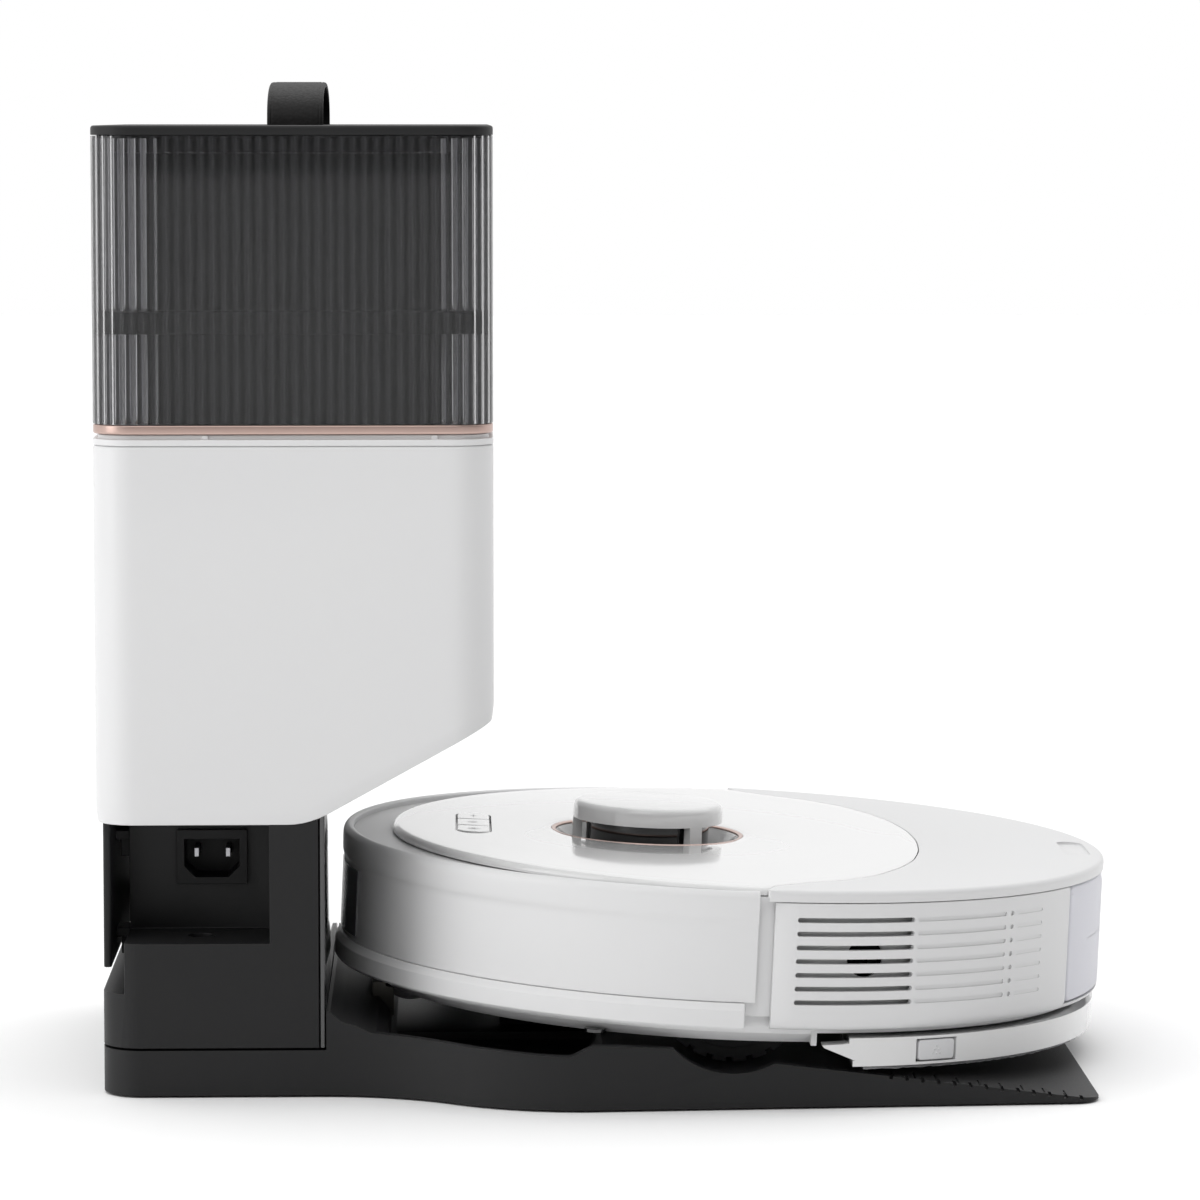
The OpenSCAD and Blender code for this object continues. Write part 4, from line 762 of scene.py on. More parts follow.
@dataclass
class Deck:
    """The gloss top plate ahead of the curved seam, and the satin lift-off lid behind it."""

    top: float = 82.0
    crown: float = 1.1
    front_r: float = 170.4
    front_cx: float = 17.5
    rear_r: float = 176.5
    turret_x: float = -35.0
    ring_r: float = 44.4
    dish_z: float = 70.0
    key_x: float = -115.6
    gap: float = 0.5
    lid_under: float = 78.8
    lid_skirt: float = 77.0

    def seam(self, shift: float = 0.0) -> np.ndarray:
        """The seam from the rim at -Y round the nose of the gloss plate to the rim at +Y.

        Half of it is a smoothed run through measured points, which is mirrored in the long axis.
        """
        half = np.array([(90, 0), (88.3, 34), (83, 67), (75, 92), (62.5, 119), (46, 138), (30, 149), (14, 163),
                         (10, 178)], float)
        at, fine = np.linspace(0, 1, len(half)), np.linspace(0, 1, 90)
        x, y = (np.interp(fine, at, half[:, k]) for k in (0, 1))
        pad = 6
        kernel = np.hanning(2 * pad + 1)
        kernel /= kernel.sum()
        both = np.concatenate([np.column_stack([x[::-1], -y[::-1]])[:-1], np.column_stack([x, y])])
        padded = np.vstack([np.repeat(both[:1], pad, 0), both, np.repeat(both[-1:], pad, 0)])
        smooth = np.column_stack([np.convolve(padded[:, k], kernel, "valid") for k in (0, 1)])
        smooth[:, 0] += shift
        return smooth

    def height(self, x: np.ndarray, y: np.ndarray) -> np.ndarray:
        """The crowned top: top + crown (1 - (r / rear_r)^2), r from the middle, flattened towards the turret."""
        share = 1 - np.clip((x ** 2 + y ** 2) / self.rear_r ** 2, 0, 1)
        near = np.clip((np.hypot(x - self.turret_x, y) - self.ring_r) / 60, 0, 1)
        return self.top + self.crown * share * near ** 0.7

    def below(self, spot: np.ndarray, drop: float | np.ndarray) -> np.ndarray:
        """Points drop millimetres below the crowned top at the given places."""
        return lift(spot, self.height(spot[:, 0], spot[:, 1]) - drop)

    def plate(self, name: str, inner: np.ndarray, outer: np.ndarray, edge: np.ndarray,
              thick: float) -> Piece:
        """A crowned plate between two loops of the same number of points.

        Rows run from the inner loop to the outer one; the last rows turn down over a quarter ellipse of edge
        millimetres, which may differ from point to point, and come back under the plate.
        """
        reach = outer - inner
        unit = reach / np.linalg.norm(reach, axis=1, keepdims=True)
        rings = [self.below(inner + unit * inset, drop) for drop, inset in quarter(0.25, 3)]
        rings += [self.below(inner + (reach - unit * edge[:, None]) * t, 0.0) for t in np.linspace(0, 1, 16)[1:-1]]
        rings += [self.below(outer - unit * inset[:, None], 0.85 * drop) for inset, drop in quarter(edge, 7)]
        rings += [lift(outer, self.top - thick), lift(inner, self.top - thick)]
        return stack(name, rings, PARKED, 32, loop=True)

    def build(self) -> None:
        """Makes the gloss plate with its dish, the rose ring, the lid and the key well."""
        count = 480
        seam = self.seam()
        front = arc(self.front_cx, self.front_r, 0, 360, 1441)
        nose = front[front[:, 0] < 10.5]
        inside = seam[np.hypot(seam[:, 0] - self.front_cx, seam[:, 1]) < self.front_r]
        outer = outline_from((self.turret_x, 0), np.vstack([nose, inside]), count)
        ring = arc(self.turret_x, self.ring_r + 0.1, 0, 360, count + 1)[:-1]
        on_rim = np.clip((np.hypot(outer[:, 0] - self.front_cx, outer[:, 1]) - self.front_r + 6) / 5, 0, 1)
        plate = self.plate("deck_plate", ring, outer, 0.3 + 2.7 * on_rim, 3.2)
        well = stack("key_well", [lift(self.pill(self.key_x, 8.3, 34.4), z) for z in (60.0, 90.0)], PARKED)
        carve(plate, well)
        dish = lathe("deck_dish", soft([(42.4, 81.0), (39.8, 72.8), (38.0, self.dish_z), (5.0, self.dish_z),
                                        (5.0, self.dish_z - 2), (43.2, self.dish_z - 2), (43.2, 78.6), (47.4, 78.6),
                                        (47.4, 79.7), (43.4, 79.7)], [0.3, 1.6, 2.0, 0, 0, 0, 0, 0, 0, 0], 5),
                     0, 360, centre=(self.turret_x, 0), spans=144)
        settle(merge("gloss_deck", plate, dish), GLOSS_ABS, "robot", "gloss_white", "top_deck")
        rose = lathe("turret_rose_ring", soft([(self.ring_r, 81.1), (self.ring_r, self.top + 0.12), (42.5, 81.8),
                                               (42.5, 81.1)], [0, 0.25, 0.3, 0], 3), 0, 360,
                     centre=(self.turret_x, 0), spans=144)
        settle(rose, ROSE_METAL, "robot", "rose", "turret_ring")
        self.lid()

    def pill(self, x: float, across: float, half: float, count: int = 24) -> np.ndarray:
        """Outline of a pill that is 2 across wide and 2 half long, along Y about (x, 0)."""
        a = np.linspace(0, np.pi, count)
        upper = np.column_stack([x + across * np.cos(a), half - across + across * np.sin(a)])
        return np.vstack([upper, -(upper - [x, 0]) + [x, 0]])

    def lid(self) -> None:
        """The lift-off lid, from a hairline behind the seam out to the round rim, with a finger recess and pegs.

        Section k runs straight from point k of the seam to point k of the rim: up a hairline edge, across the
        crowned top, down over the rounded rim to the skirt, and back underneath. Sections narrow to a horn.
        """
        seam = self.seam(self.gap)
        seam = seam[np.hypot(seam[:, 0], seam[:, 1]) < self.rear_r - 0.4]
        run = np.concatenate([[0], np.cumsum(np.linalg.norm(np.diff(seam, axis=0), axis=1))])
        at = np.linspace(0, run[-1], 241)
        seam = np.column_stack([np.interp(at, run, seam[:, k]) for k in (0, 1)])
        last = math.degrees(math.atan2(seam[-1, 1], seam[-1, 0])) - 0.25
        rim = arc(0, self.rear_r, -last, last, 241)
        reach = rim - seam
        length = np.linalg.norm(reach, axis=1)
        unit = reach / length[:, None]
        share = np.clip(length / 8, 0.05, 1)
        wide, high, hair = 2.4 * share, 2.2 * share, 0.3 * share
        cols = [(0.0 * length, 0.3), (0.1 * share, 0.08), (hair, 0.0)]
        cols += [(hair + (length - wide - hair) * t, 0.0) for t in np.linspace(0, 1, 16)[1:-1]]
        cols += [(length - wide * inset, high * drop) for inset, drop in quarter(1.0, 7)]
        rows = [self.below(seam + unit * along[:, None], drop) for along, drop in cols]
        inner = rim - unit * high[:, None]
        rows += [lift(rim, self.lid_skirt), lift(inner, self.lid_skirt), lift(inner, self.lid_under),
                 lift(seam, self.lid_under)]
        cover = stack("lid_plate", list(np.stack(rows, axis=1)), PARKED, 32)
        recess = stack("finger_recess", [lift(rounded(157.5, 169.5, -22, 22, 5.5, inset), z) for inset, z in
                                         ((1.6, 80.9), (0.4, 81.2), (0.0, 81.9), (0.0, 90.0))], PARKED)
        carve(cover, recess)
        pegs = [slab("peg", (x - 3.6, x + 3.6, y - 3.6, y + 3.6, 72.2, 79.8), 3.6, 0.8, PARKED)
                for x, y in ((52, 148), (52, -148), (113, 0))]
        settle(merge("satin_lid", cover, *pegs), WHITE_ABS, "lid", "white_abs", "bin_lid")


@dataclass
class Bumper:
    """The spring-loaded front bumper: its shell with a rolled rim, and the shelf that slides under the deck."""

    reach: float = 87.4
    shelf_r: float = 171.0
    shelf_cx: float = 17.5
    shelf_in: float = 165.0
    shelf_z: tuple[float, float] = (75.8, 78.1)

    def build(self) -> None:
        """Carries the shell's profile round the front and closes the shelf between two offset arcs."""
        profile = soft([(172.0, 32.1), (174.5, 32.1), (174.5, 66.4), (175.5, 69.0), (175.7, 78.6), (173.6, 81.1),
                        (171.0, 80.3), (170.9, 76.0), (172.0, 73.0)],
                       [0.5, 0.8, 2.0, 2.5, 2.6, 1.6, 0.8, 0.8, 1.0], 5)
        shell = lathe("bumper_wall", profile, self.reach, 360 - self.reach, spans=180)
        count = 121
        outer = arc(0.0, self.shelf_r, 97.0, 263.0, count)
        inner = arc(self.shelf_cx, self.shelf_in, 104.0, 256.0, count)
        loop = np.vstack([outer, inner[::-1]])
        levels = np.vstack([lift(loop, z) for z in self.shelf_z])
        shelf = make_mesh("bumper_shelf", levels, self.ribbon(count), PARKED)
        settle(ease(merge("bumper_rolled_shell", shell, shelf), 0.3, 40), WHITE_ABS, "bumper", "white_abs",
               "bumper_shell")

    def ribbon(self, n: int) -> list:
        """Faces of a crescent of two n-point arcs: an outer run, then the inner run backwards, at two levels."""
        size = 2 * n
        faces = [[k, k + 1, size - 2 - k, size - 1 - k] for k in range(n - 1)]
        faces += [[size + i for i in face] for face in faces]
        return faces + [[k, (k + 1) % size, size + (k + 1) % size, size + k] for k in range(size)]


@dataclass
class SideShell:
    """The rear side wall: two vented flanks and the thin strip under the water tank."""

    radius: float = 176.5
    tank_half: float = 30.4
    end: float = 85.1
    rows: int = 7
    row_z: float = 33.2
    pitch: float = 6.0
    tuck_from: float = 81.6
    tuck_in: float = 1.9
    # one row of vents: from angle, to angle, half height, depth
    slots: tuple = ((64.2, 82.0, 1.1, 6.0), (47.2, 63.7, 0.95, 0.7),
                    (45.6, 46.4, 1.05, 1.0), (38.7, 45.0, 0.8, 0.3))
    guide_r: float = 170.0
    port_at: float = 71.0
    port_z: float = 52.0
    port_r: float = 8.5

    def capsule(self, z: float, a0: float, a1: float, half: float, r0: float, r1: float) -> Piece:
        """A cutter with round ends that follows the wall: half high, from angle a0 to a1, from radius r0 to r1.

        Its outline in (arc length, height) is a pill, and each point goes to angle arc / radius.
        """
        turn = np.linspace(0, np.pi, 9)
        s0, s1 = math.radians(a0) * self.radius + half, math.radians(a1) * self.radius - half
        run = np.linspace(0, 1, 14)[1:-1]
        right = np.column_stack([s1 + half * np.sin(turn), z - half * np.cos(turn)])
        left = np.column_stack([s0 - half * np.sin(turn), z + half * np.cos(turn)])
        pill = np.vstack([right, lift((s1 + (s0 - s1) * run)[:, None], z + half), left,
                          lift((s0 + (s1 - s0) * run)[:, None], z - half)])
        n = len(pill)
        cap = self.strip()
        faces = grid_faces(2, n, ring=True) + cap + [[n + i for i in face] for face in cap]
        rings = [bend(r, pill[:, 0] / self.radius, pill[:, 1]) for r in (r0, r1)]
        return make_mesh("slot", np.vstack(rings), faces, PARKED)

    def tuck(self, flank: Piece) -> Piece:
        """Draws the wall in beside the bumper by tuck_in ((angle - tuck_from) / (end - tuck_from))^2."""
        mesh = flank.data
        flat = np.empty(len(mesh.vertices) * 3)
        mesh.vertices.foreach_get("co", flat)
        local = (flat.reshape(-1, 3) / MM - PARKED[:3, 3]) @ PARKED[:3, :3]
        angle = np.abs(np.degrees(np.arctan2(local[:, 1], local[:, 0])))
        share = np.clip((angle - self.tuck_from) / (self.end - self.tuck_from), 0, 1)
        scale = 1 - self.tuck_in * share ** 2 / np.hypot(local[:, 0], local[:, 1])
        local[:, :2] *= scale[:, None]
        mesh.vertices.foreach_set("co", to_frame(local, PARKED).ravel())
        mesh.update()
        return flank

    def strip(self) -> list:
        """Faces that close a pill outline of 9 + 12 + 9 + 12 points with narrow cross strips along its length."""
        faces = [list(range(0, 9)), list(range(21, 30))]
        upper = [8] + list(range(9, 21)) + [21]
        lower = [0] + list(range(41, 29, -1)) + [29]
        faces += [[upper[k], upper[k + 1], lower[k + 1], lower[k]] for k in range(13)]
        return faces

    def build(self) -> None:
        """Carries the wall's profile round both flanks, cuts the vents, and adds the air guide behind them with its
        fan port, the stop strip behind each bumper end and the strip below the tank."""
        r = self.radius
        wall = soft([(r - 5, 20.5), (r - 1.5, 21.5), (r, 24.5), (r, 76.6), (r - 2.5, 76.6), (r - 2.5, 24.5),
                     (r - 5, 23.5)], [0.4, 1.6, 2.4, 0.6, 0.5, 0.5, 0.3], 4)
        flanks = []
        guide = soft([(169.2, 29), (170.4, 29), (170.4, 74), (169.2, 74)], 0.3, 2)
        stop = soft([(168.6, 26), (171.5, 26), (171.5, 78.3), (168.6, 78.3)], 0.4, 3)
        around = np.linspace(0, 2 * np.pi, 41)[:-1]
        for s in (1, -1):
            flank = self.tuck(lathe("flank", wall, *mirrored(s, self.tank_half, self.end), spans=120))
            cuts = [self.capsule(z, *mirrored(s, a0, a1), half, r - depth, r + 2)
                    for z in self.row_z + self.pitch * np.arange(self.rows) for a0, a1, half, depth in self.slots]
            flanks.append(carve(flank, *cuts, sharp=40))
            liner = lathe("liner", guide, *mirrored(s, 60.0, 84.0), spans=48)
            turn = s * math.radians(self.port_at) + self.port_r / self.guide_r * np.cos(around)
            high = self.port_z + self.port_r * np.sin(around)
            hole = stack("port", [bend(q, turn, high) for q in (self.guide_r - 4, self.guide_r + 3)], PARKED)
            flanks.append(carve(liner, hole))
            flanks.append(lathe("stop", stop, *mirrored(s, 83.6, 89.2), spans=12))
        strip = lathe("strip", soft([(r - 5, 20.5), (r - 1.5, 21.5), (r - 0.3, 23.4), (r - 5, 23.4)],
                                    [0.4, 1.4, 0.3, 0.3], 4), -self.tank_half, self.tank_half, spans=60)
        settle(merge("vented_side_wall", *flanks, strip, sharp=40), WHITE_ABS, "robot", "white_abs", "side_shell")


def curved_panel(name: str, radius: float, angles: tuple, heights: tuple, corner: float, edge: float, back: float,
                 step: float = 0.0) -> Piece:
    """A panel with rounded corners that is bent round the robot's upright axis.

    The outline lives in (arc length, height) on the given radius. Rings start at the back, round the front edge
    and then shrink towards the panel's middle line; a point (s, z) at radius q becomes
    (q cos(s / radius), q sin(s / radius), z).

    Args:
        name: the piece's name.
        radius: radius of the face.
        angles: first and last angle, in degrees.
        heights: lower and upper height.
        corner: radius of the outline's corners.
        edge: radius of the rounded front edge.
        back: radius at which the panel's back lies.
        step: how far the face steps in over its top 3.5 mm.
    """
    s0, s1 = (math.radians(a) * radius for a in angles)
    rows = [(back, 0.0), (radius - edge, 0.0)]
    rows += [(radius - short, inset) for short, inset in quarter(edge, 5)[1:]]
    deep = (heights[1] - heights[0]) / 2 - 0.15
    rows += [(radius, edge + (deep - edge) * t) for t in np.linspace(0, 1, 13)[1:]]
    rings = []
    for q, inset in rows:
        outline = rounded(s0, s1, heights[0], heights[1], corner, inset, 8, 24)
        q = q - step * np.clip((outline[:, 1] - heights[1] + 3.9) / 0.4, 0, 1)
        rings.append(bend(q, outline[:, 0] / radius, outline[:, 1]))
    return stack(name, rings, PARKED, 38)


@dataclass
class RearTank:
    """The frosted water tank behind the rear wall's opening."""

    half: float = 29.9
    outer: float = 176.3
    inner: float = 122.0
    corner: float = 4.0

    def build(self) -> None:
        """A bent face panel with round corners and a stepped top lip, and the box that slides in behind it."""
        face = curved_panel("tank_face", self.outer, (-self.half, self.half), (24.0, 76.4), self.corner, 1.4, 150.0,
                            0.5)
        box = lathe("tank_box", soft([(self.inner, 24.6), (150.4, 24.6), (150.4, 75.8), (self.inner, 75.8)], 1.5),
                    -self.half + 0.6, self.half - 0.6, spans=60)
        settle(merge("frosted_tank", face, box, sharp=38), TANK_PP, "tank", "tank_lilac", "water_tank")


@dataclass
class Latches:
    """The two release latches of the mop carrier, each a bent key with a triangle of six grip pips."""

    middle: float = 59.0
    half: float = 3.15
    low: float = 6.6
    high: float = 15.5
    radius: float = 174.7
    pip: float = 0.5
    pip_z: float = 9.4
    pip_row: float = 1.65
    pip_pitch: float = 1.9

    def build(self) -> None:
        """Makes each latch from a curved panel and six low domes, in rows of three, two and one."""
        for side, name in ((-1, "left"), (1, "right")):
            span = mirrored(side, self.middle - self.half, self.middle + self.half)
            parts = [curved_panel("latch_key", self.radius, span, (self.low, self.high), 1.6, 0.5, 169.8)]
            turn, pitch = math.radians(side * self.middle), self.pip_pitch / self.radius
            for row, count in enumerate((3, 2, 1)):
                parts += [self.dome(turn + (k - (count - 1) / 2) * pitch, self.pip_z + row * self.pip_row)
                          for k in range(count)]
            settle(merge("latch_grip_" + name, *parts, sharp=38), GREY_ABS, "latch_" + name, "latch_grey",
                   "mop_latch_" + name)

    def dome(self, turn: float, z: float) -> Piece:
        """A low dome: at polar step t its ring has radius pip sin t and stands 0.3 cos t out of the key's face."""
        out = np.array([math.cos(turn), math.sin(turn), 0.0])
        side, up = np.array([-out[1], out[0], 0.0]), np.array([0.0, 0.0, 1.0])
        spin = np.linspace(0, 2 * np.pi, 13)[:-1, None]
        ring = self.pip * (np.cos(spin) * side + np.sin(spin) * up)
        steps = ((1.0, -0.4), (1.0, 0.0), (0.87, 0.15), (0.5, 0.27), (0.15, 0.3))
        return stack("pip", [out * (self.radius + proud) + z * up + t * ring for t, proud in steps], PARKED)


@dataclass
class Keys:
    """The three function keys, which share one pill-shaped well, and the symbols printed on them."""

    x: float = -115.6
    across: float = 7.5
    half: float = 33.6
    split: float = 11.0
    gap: float = 0.3
    top: float = 82.9
    ink: float = 0.03
    line: float = 0.45

    def outline(self, low: float, high: float, inset: float) -> np.ndarray:
        """The pill's outline between two Y values, shrunk by inset: half width across at y in its straight part and
        sqrt(across^2 - (|y| - half + across)^2) in its round ends."""
        y = np.linspace(low + max(inset, 0.0), high - max(inset, 0.0), 60)
        over = np.maximum(np.abs(y) - (self.half - self.across), 0.0)
        wide = np.sqrt(np.maximum(self.across ** 2 - over ** 2, 0.25)) - inset
        right = np.column_stack([self.x + np.maximum(wide, 0.05), y])
        return np.vstack([right, np.column_stack([2 * self.x - right[::-1, 0], y[::-1]])])

    def ring_mark(self, y: float, radius: float, start: float, end: float) -> Piece:
        """A printed arc one line wide and one layer of ink proud of the key, round (x, y)."""
        near, far, high = radius - 0.22, radius + 0.22, self.top + self.ink
        line = np.array([(near, self.top), (far, self.top), (far, high), (near, high)])
        return lathe("mark", line, start, end, centre=(self.x, y), spans=32)

    def bar_mark(self, y: float, wide: float, long: float) -> Piece:
        """A printed bar, wide in X and long in Y."""
        return slab("mark", (self.x - wide / 2, self.x + wide / 2, y - long / 2, y + long / 2, self.top,
                             self.top + self.ink), 0.1, 0.01, PARKED, 3)

    def build(self) -> None:
        """Makes each key with a soft crowned top and a stem below, and prints its symbol."""
        spots = {"home": (self.split + self.gap, self.half),
                 "power": (self.gap - self.split, self.split - self.gap),
                 "spot": (-self.half, -self.split - self.gap)}
        side = (self.half + self.split) / 2
        marks = {"home": [self.bar_mark(side, 3.4, self.line), self.bar_mark(side + 2.3, self.line, 3.2),
                          self.bar_mark(side - 2.3, self.line, 3.2)],
                 "power": [self.ring_mark(0.0, 2.3, 40, 320), self.bar_mark(0.0, 2.2, self.line)],
                 "spot": [self.ring_mark(-side, 2.4, 0, 360), self.ring_mark(-side, 0.9, 0, 360)]}
        top = self.top
        rows = ((-0.6, 78.2), (-0.6, 80.6), (0.0, 80.9), (0.0, top - 0.9), (0.15, top - 0.45), (0.5, top - 0.12),
                (1.1, top), (3.0, top))
        for key, (low, high) in spots.items():
            body = stack("key", [lift(self.outline(low, high, inset), z) for inset, z in rows], PARKED)
            middle = (low + high) / 2
            stem = slab("stem", (self.x - 2.5, self.x + 2.5, middle - 2.5, middle + 2.5, 58.4, 78.6), 2.4, 0.4,
                        PARKED)
            settle(merge(key + "_key", body, stem), GLOSS_ABS, key + "_key", "gloss_white", key + "_button")
            settle(merge(key + "_symbol", *marks[key]), PRINT_INK, key + "_key", "gloss_white")


@dataclass
class MopPad:
    """The washable pad under the mop carrier: a backed pad with a tufted underside and a ragged edge."""

    radius: float = 173.2
    flat_x: float = 56.6
    middle_x: float = 110.0
    z0: float = 2.8
    z1: float = 4.7
    tuft: float = 0.35

    def build(self) -> None:
        """A D-shaped pillow 1.9 mm thick. Loops shrink to the middle, tufts ripple the underside by
        tuft |sin(1.7 x) sin(1.9 y)|, and the edge wanders by 0.4 mm as loose fibres do."""
        count = 420
        span = math.degrees(math.acos(self.flat_x / self.radius))
        outline = even(arc(0, self.radius, -span, span, 300), count)
        centre = np.array([self.middle_x, 0.0])
        turn = np.arange(count) / count * 2 * np.pi
        ragged = 0.25 * np.sin(61 * turn) + 0.2 * np.sin(97 * turn + 1.0) - 0.5
        edge = outline + outward(outline) * ragged[:, None]
        edge[:, 0] = np.maximum(edge[:, 0], self.flat_x)
        rings = []
        middle = (self.z0 + self.z1) / 2
        for share in np.linspace(0.02, 0.985, 40):
            at = centre + (edge - centre) * share
            rings.append(lift(at, self.z0 + self.tuft * np.abs(np.sin(1.7 * at[:, 0]) * np.sin(1.9 * at[:, 1]))))
        rings += [lift(edge, middle - 0.3), lift(edge, middle + 0.3)]
        rings += [lift(centre + (edge - centre) * share, self.z1) for share in (0.985, 0.5, 0.02)]
        piece = settle(stack("mop_tufted_pad", rings, PARKED, 60), MOP_PILE, "mop", "mop_cloth", "mop_cloth")


# ---- carried over

@dataclass(frozen=True)
class Carried:
    """A CAD node whose shape is already right: a welded copy with rounded edges and its real finish."""

    node: str
    finish: Finish
    bevel: float = 0.4

    def build(self) -> Piece:
        """Makes the copy, on its CAD body."""
        body = frame["nodes"][self.node]["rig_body"]
        return settle(refine(self.node, self.bevel), self.finish, body, SLOTS[self.node], self.node)


CARRIED = [Carried(node, finish, bevel) for node, finish, bevel in (
    ("base_pan", INNER_ABS, 0.0), ("rubber_feet", RUBBER, 0.2), ("base_screws", STEEL, 0.0),
    ("column_shell", DOCK_ABS, 0.7), ("cord_plate", DOCK_ABS, 0.5), ("inlet_socket", INNER_ABS, 0.3),
    ("inlet_pins", STEEL, 0.2), ("tower_collar", WHITE_ABS, 0.4), ("bag_bay", INNER_ABS, 0.5),
    ("motor_housing", INNER_ABS, 0.6), ("motor_impeller", STEEL, 0.0), ("exhaust_filter", FILTER_PAPER, 0.2),
    ("air_duct", INNER_ABS, 0.4), ("duct_seal", RUBBER, 0.3), ("charge_contacts", NICKEL, 0.4),
    ("chassis_pan", WHITE_ABS, 0.3), ("main_board", SOLDER_MASK, 0.0), ("battery_pack", SHRINK_WRAP, 0.5),
    ("blower_housing", INNER_ABS, 0.3), ("blower_impeller", STEEL, 0.0), ("dustbin", SMOKE_BIN, 0.3),
    ("dustbin_filter", FILTER_PAPER, 0.0), ("brush_frame", INNER_ABS, 0.3), ("cliff_sensors", WINDOW, 0.2),
    ("chassis_screws", STEEL, 0.0), ("mop_carriage", GREY_ABS, 0.3), ("wheel_arm_left", INNER_ABS, 0.3),
    ("wheel_arm_right", INNER_ABS, 0.3), ("drive_wheel_left", TYRE, 0.3), ("drive_wheel_right", TYRE, 0.3),
    ("caster_fork", INNER_ABS, 0.3), ("caster_wheel", GREY_ABS, 0.5), ("front_roller", RUBBER, 0.3),
    ("rear_roller", RUBBER, 0.3), ("side_brush", NYLON, 0.2), ("front_panel", PANEL_ABS, 0.4),
    ("turret_cap", GLOSS_ABS, 0.35), ("lidar_rotor", WINDOW, 0.3), ("bumper_skirt", WHITE_ABS, 0.3),
    ("bumper_window", SENSOR_PANE, 0.15), ("mop_bracket", GLOSS_ABS, 0.5),
)]


@dataclass
class Tray:
    """The base tray's CAD shape with the small drain notches that cut the ramp's long edges."""

    first: float = 118.0
    pitch: float = 7.0
    count: int = 13
    reach: float = 4.5
    wide: float = 1.5
    deep: float = 1.3
    # the ramp's top: its height at a place along it, and its fall
    ramp_x: float = 67.6
    ramp_z: float = 20.3
    fall: float = 0.127

    def build(self) -> None:
        """Cuts a notch at every pitch along both edges and rounds what is left.

        The edge's place at x is read from the tray's own rim, and the ramp's height falls in a straight line.
        """
        tray = refine("base_tray", 0.0)
        spots = np.empty(len(tray.data.vertices) * 3)
        tray.data.vertices.foreach_get("co", spots)
        spots = spots.reshape(-1, 3) / MM
        ends = spots[(spots[:, 0] > 60) & (spots[:, 1] > 140)]
        order = np.argsort(ends[:, 0])
        cuts = []
        for x in self.first + self.pitch * np.arange(self.count):
            edge = float(np.interp(x, ends[order, 0], np.maximum.accumulate(ends[order[::-1], 1])[::-1]))
            top = self.ramp_z - self.fall * (x - self.ramp_x)
            cuts += [slab("notch", (x, x + self.wide, *mirrored(s, edge - self.reach, edge + 6), top - self.deep,
                                    top + 8), 0.3, 0.2, steps=2) for s in (1, -1)]
        settle(ease(carve(tray, *cuts), 0.4), DOCK_ABS, "dock", "dock_black", "base_tray")


# ---- studio

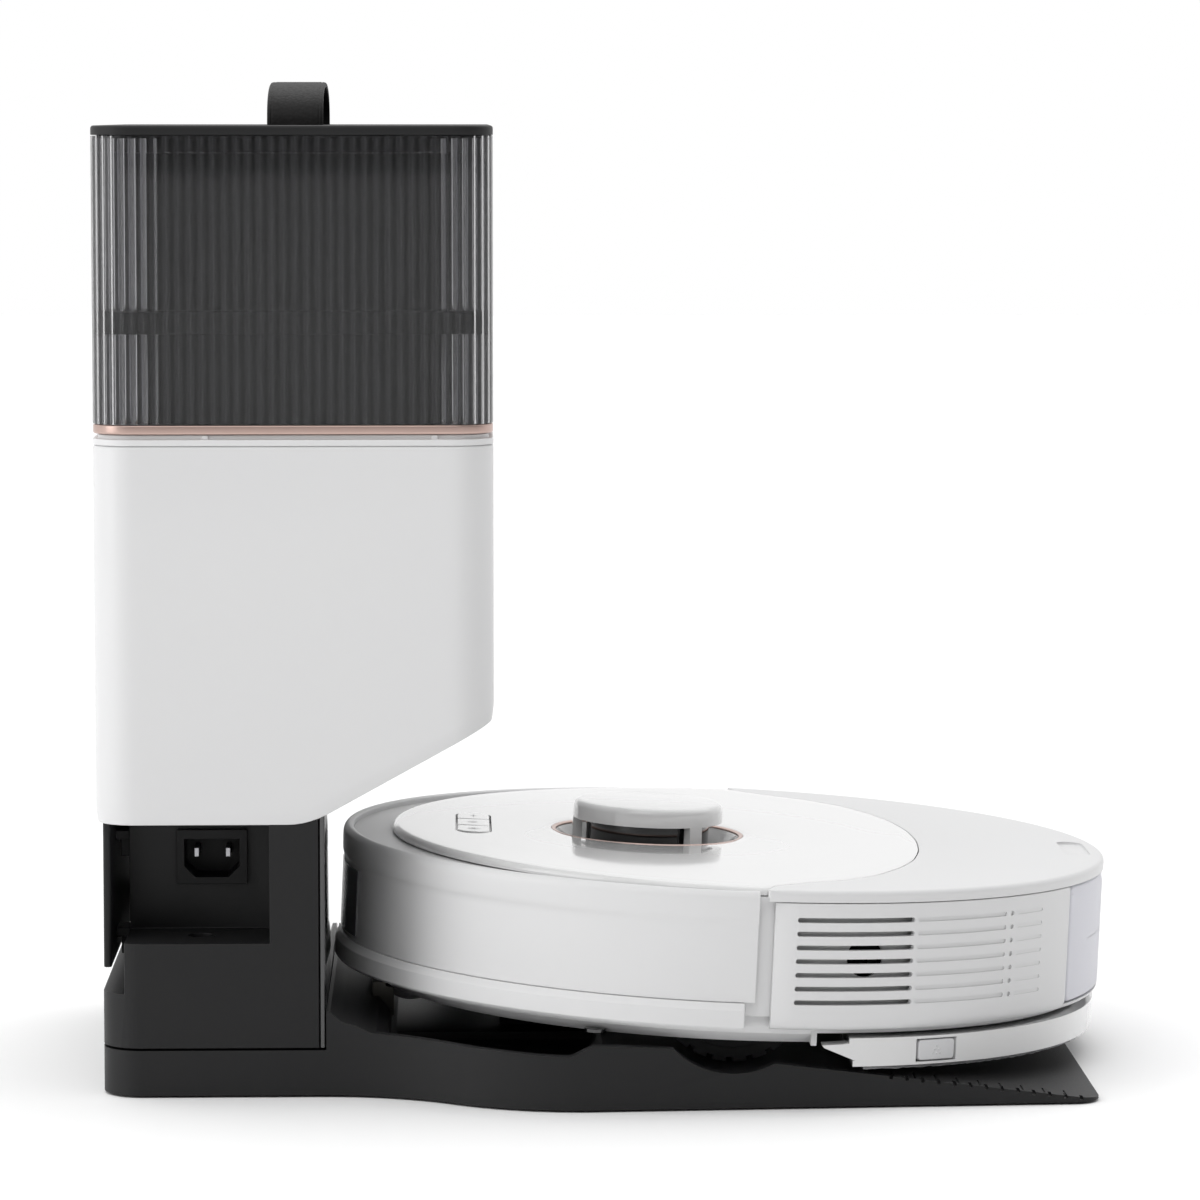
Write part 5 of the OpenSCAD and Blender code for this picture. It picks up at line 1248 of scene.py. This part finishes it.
@dataclass
class Studio:
    """Plain pale floor, soft lights and the camera at the object's usual product view."""

    lens: float = 159.8
    seat: tuple[float, float, float] = (-69.8, -2449.2, 431.6)
    yaw: float = 1.5429
    pitch: float = 5.2175
    floor_half: float = 9000.0
    ceiling: float = 1.0
    # lamps: place and aim in metres, sides in metres, watts
    lamps: tuple = (("left", (-2.4, -1.1, 0.9), (0.0, 0.0, 0.2), (1.3, 2.0), 12.0),
                    ("front_top", (-0.4, -2.2, 2.2), (0.0, 0.0, 0.2), (1.8, 1.0), 9.0))

    def camera(self) -> None:
        """Places the camera: level roll, turned by yaw and tipped down by pitch, both in degrees."""
        data = bpy.data.cameras.new("camera")
        data.lens, data.sensor_width, data.clip_end = self.lens, 36.0, 50.0
        data.sensor_fit = "HORIZONTAL"
        made = bpy.data.objects.new("camera", data)
        made.location = Vector(self.seat) * MM
        made.rotation_euler = (math.radians(90 - self.pitch), 0.0, math.radians(-self.yaw))
        bpy.context.scene.collection.objects.link(made)
        bpy.context.scene.camera = made

    def lamp(self, name: str, place: tuple, aim: tuple, size: tuple, power: float) -> None:
        """Adds a rectangular soft light at place, in metres, facing aim."""
        data = bpy.data.lights.new(name, "AREA")
        data.shape, data.size, data.size_y, data.energy = "RECTANGLE", size[0], size[1], power
        made = bpy.data.objects.new(name, data)
        made.location = place
        made.rotation_euler = (Vector(aim) - Vector(place)).to_track_quat("-Z", "Y").to_euler()
        bpy.context.scene.collection.objects.link(made)

    def sun(self) -> None:
        """Adds a very soft light from straight above, which falls evenly on the whole floor."""
        data = bpy.data.lights.new("ceiling", "SUN")
        data.energy, data.angle = self.ceiling, math.radians(120)
        bpy.context.scene.collection.objects.link(bpy.data.objects.new("ceiling", data))

    def build(self) -> None:
        """Makes the floor, the world, the lights and the camera."""
        scene = bpy.context.scene
        corners = np.array([(-1, -1, 0), (1, -1, 0), (1, 1, 0), (-1, 1, 0)]) * self.floor_half
        floor = make_mesh("floor", corners, [[0, 1, 2, 3]])
        floor.data.materials.append(FLOOR_PAINT.material())
        world = bpy.data.worlds.new("studio")
        world.use_nodes = True
        # a white sweep behind the object and to its left, and a dimmer room in front of it and to its right
        tree = world.node_tree
        place = add(tree, "ShaderNodeTexCoord").outputs["Generated"]
        ahead = add(tree, "ShaderNodeVectorMath", {0: place, 1: (-0.5, 0.87, 0.0)},
                    operation="DOT_PRODUCT").outputs["Value"]
        level = add(tree, "ShaderNodeMapRange", {"Value": ahead, "From Min": -0.78, "From Max": 0.1, "To Min": 0.2,
                                                 "To Max": 1.0}, interpolation_type="SMOOTHSTEP").outputs[0]
        tree.links.new(level, tree.nodes["Background"].inputs[0])
        tree.nodes["Background"].inputs[1].default_value = 1.0
        scene.world = world
        scene.view_settings.view_transform = "Standard"
        self.sun()
        for lamp in self.lamps:
            self.lamp(*lamp)
        self.camera()


def main() -> None:
    """Builds every piece, then the studio."""
    logging.basicConfig(level=logging.INFO, format="%(name)s: %(message)s")
    for part in (Tower(), Cover(), DustBag(), Deck(), Bumper(), SideShell(), Tray(), Keys(), RearTank(), Latches(),
                 MopPad(), *CARRIED):
        part.build()
    Studio().build()


if __name__ == "__main__":
    main()
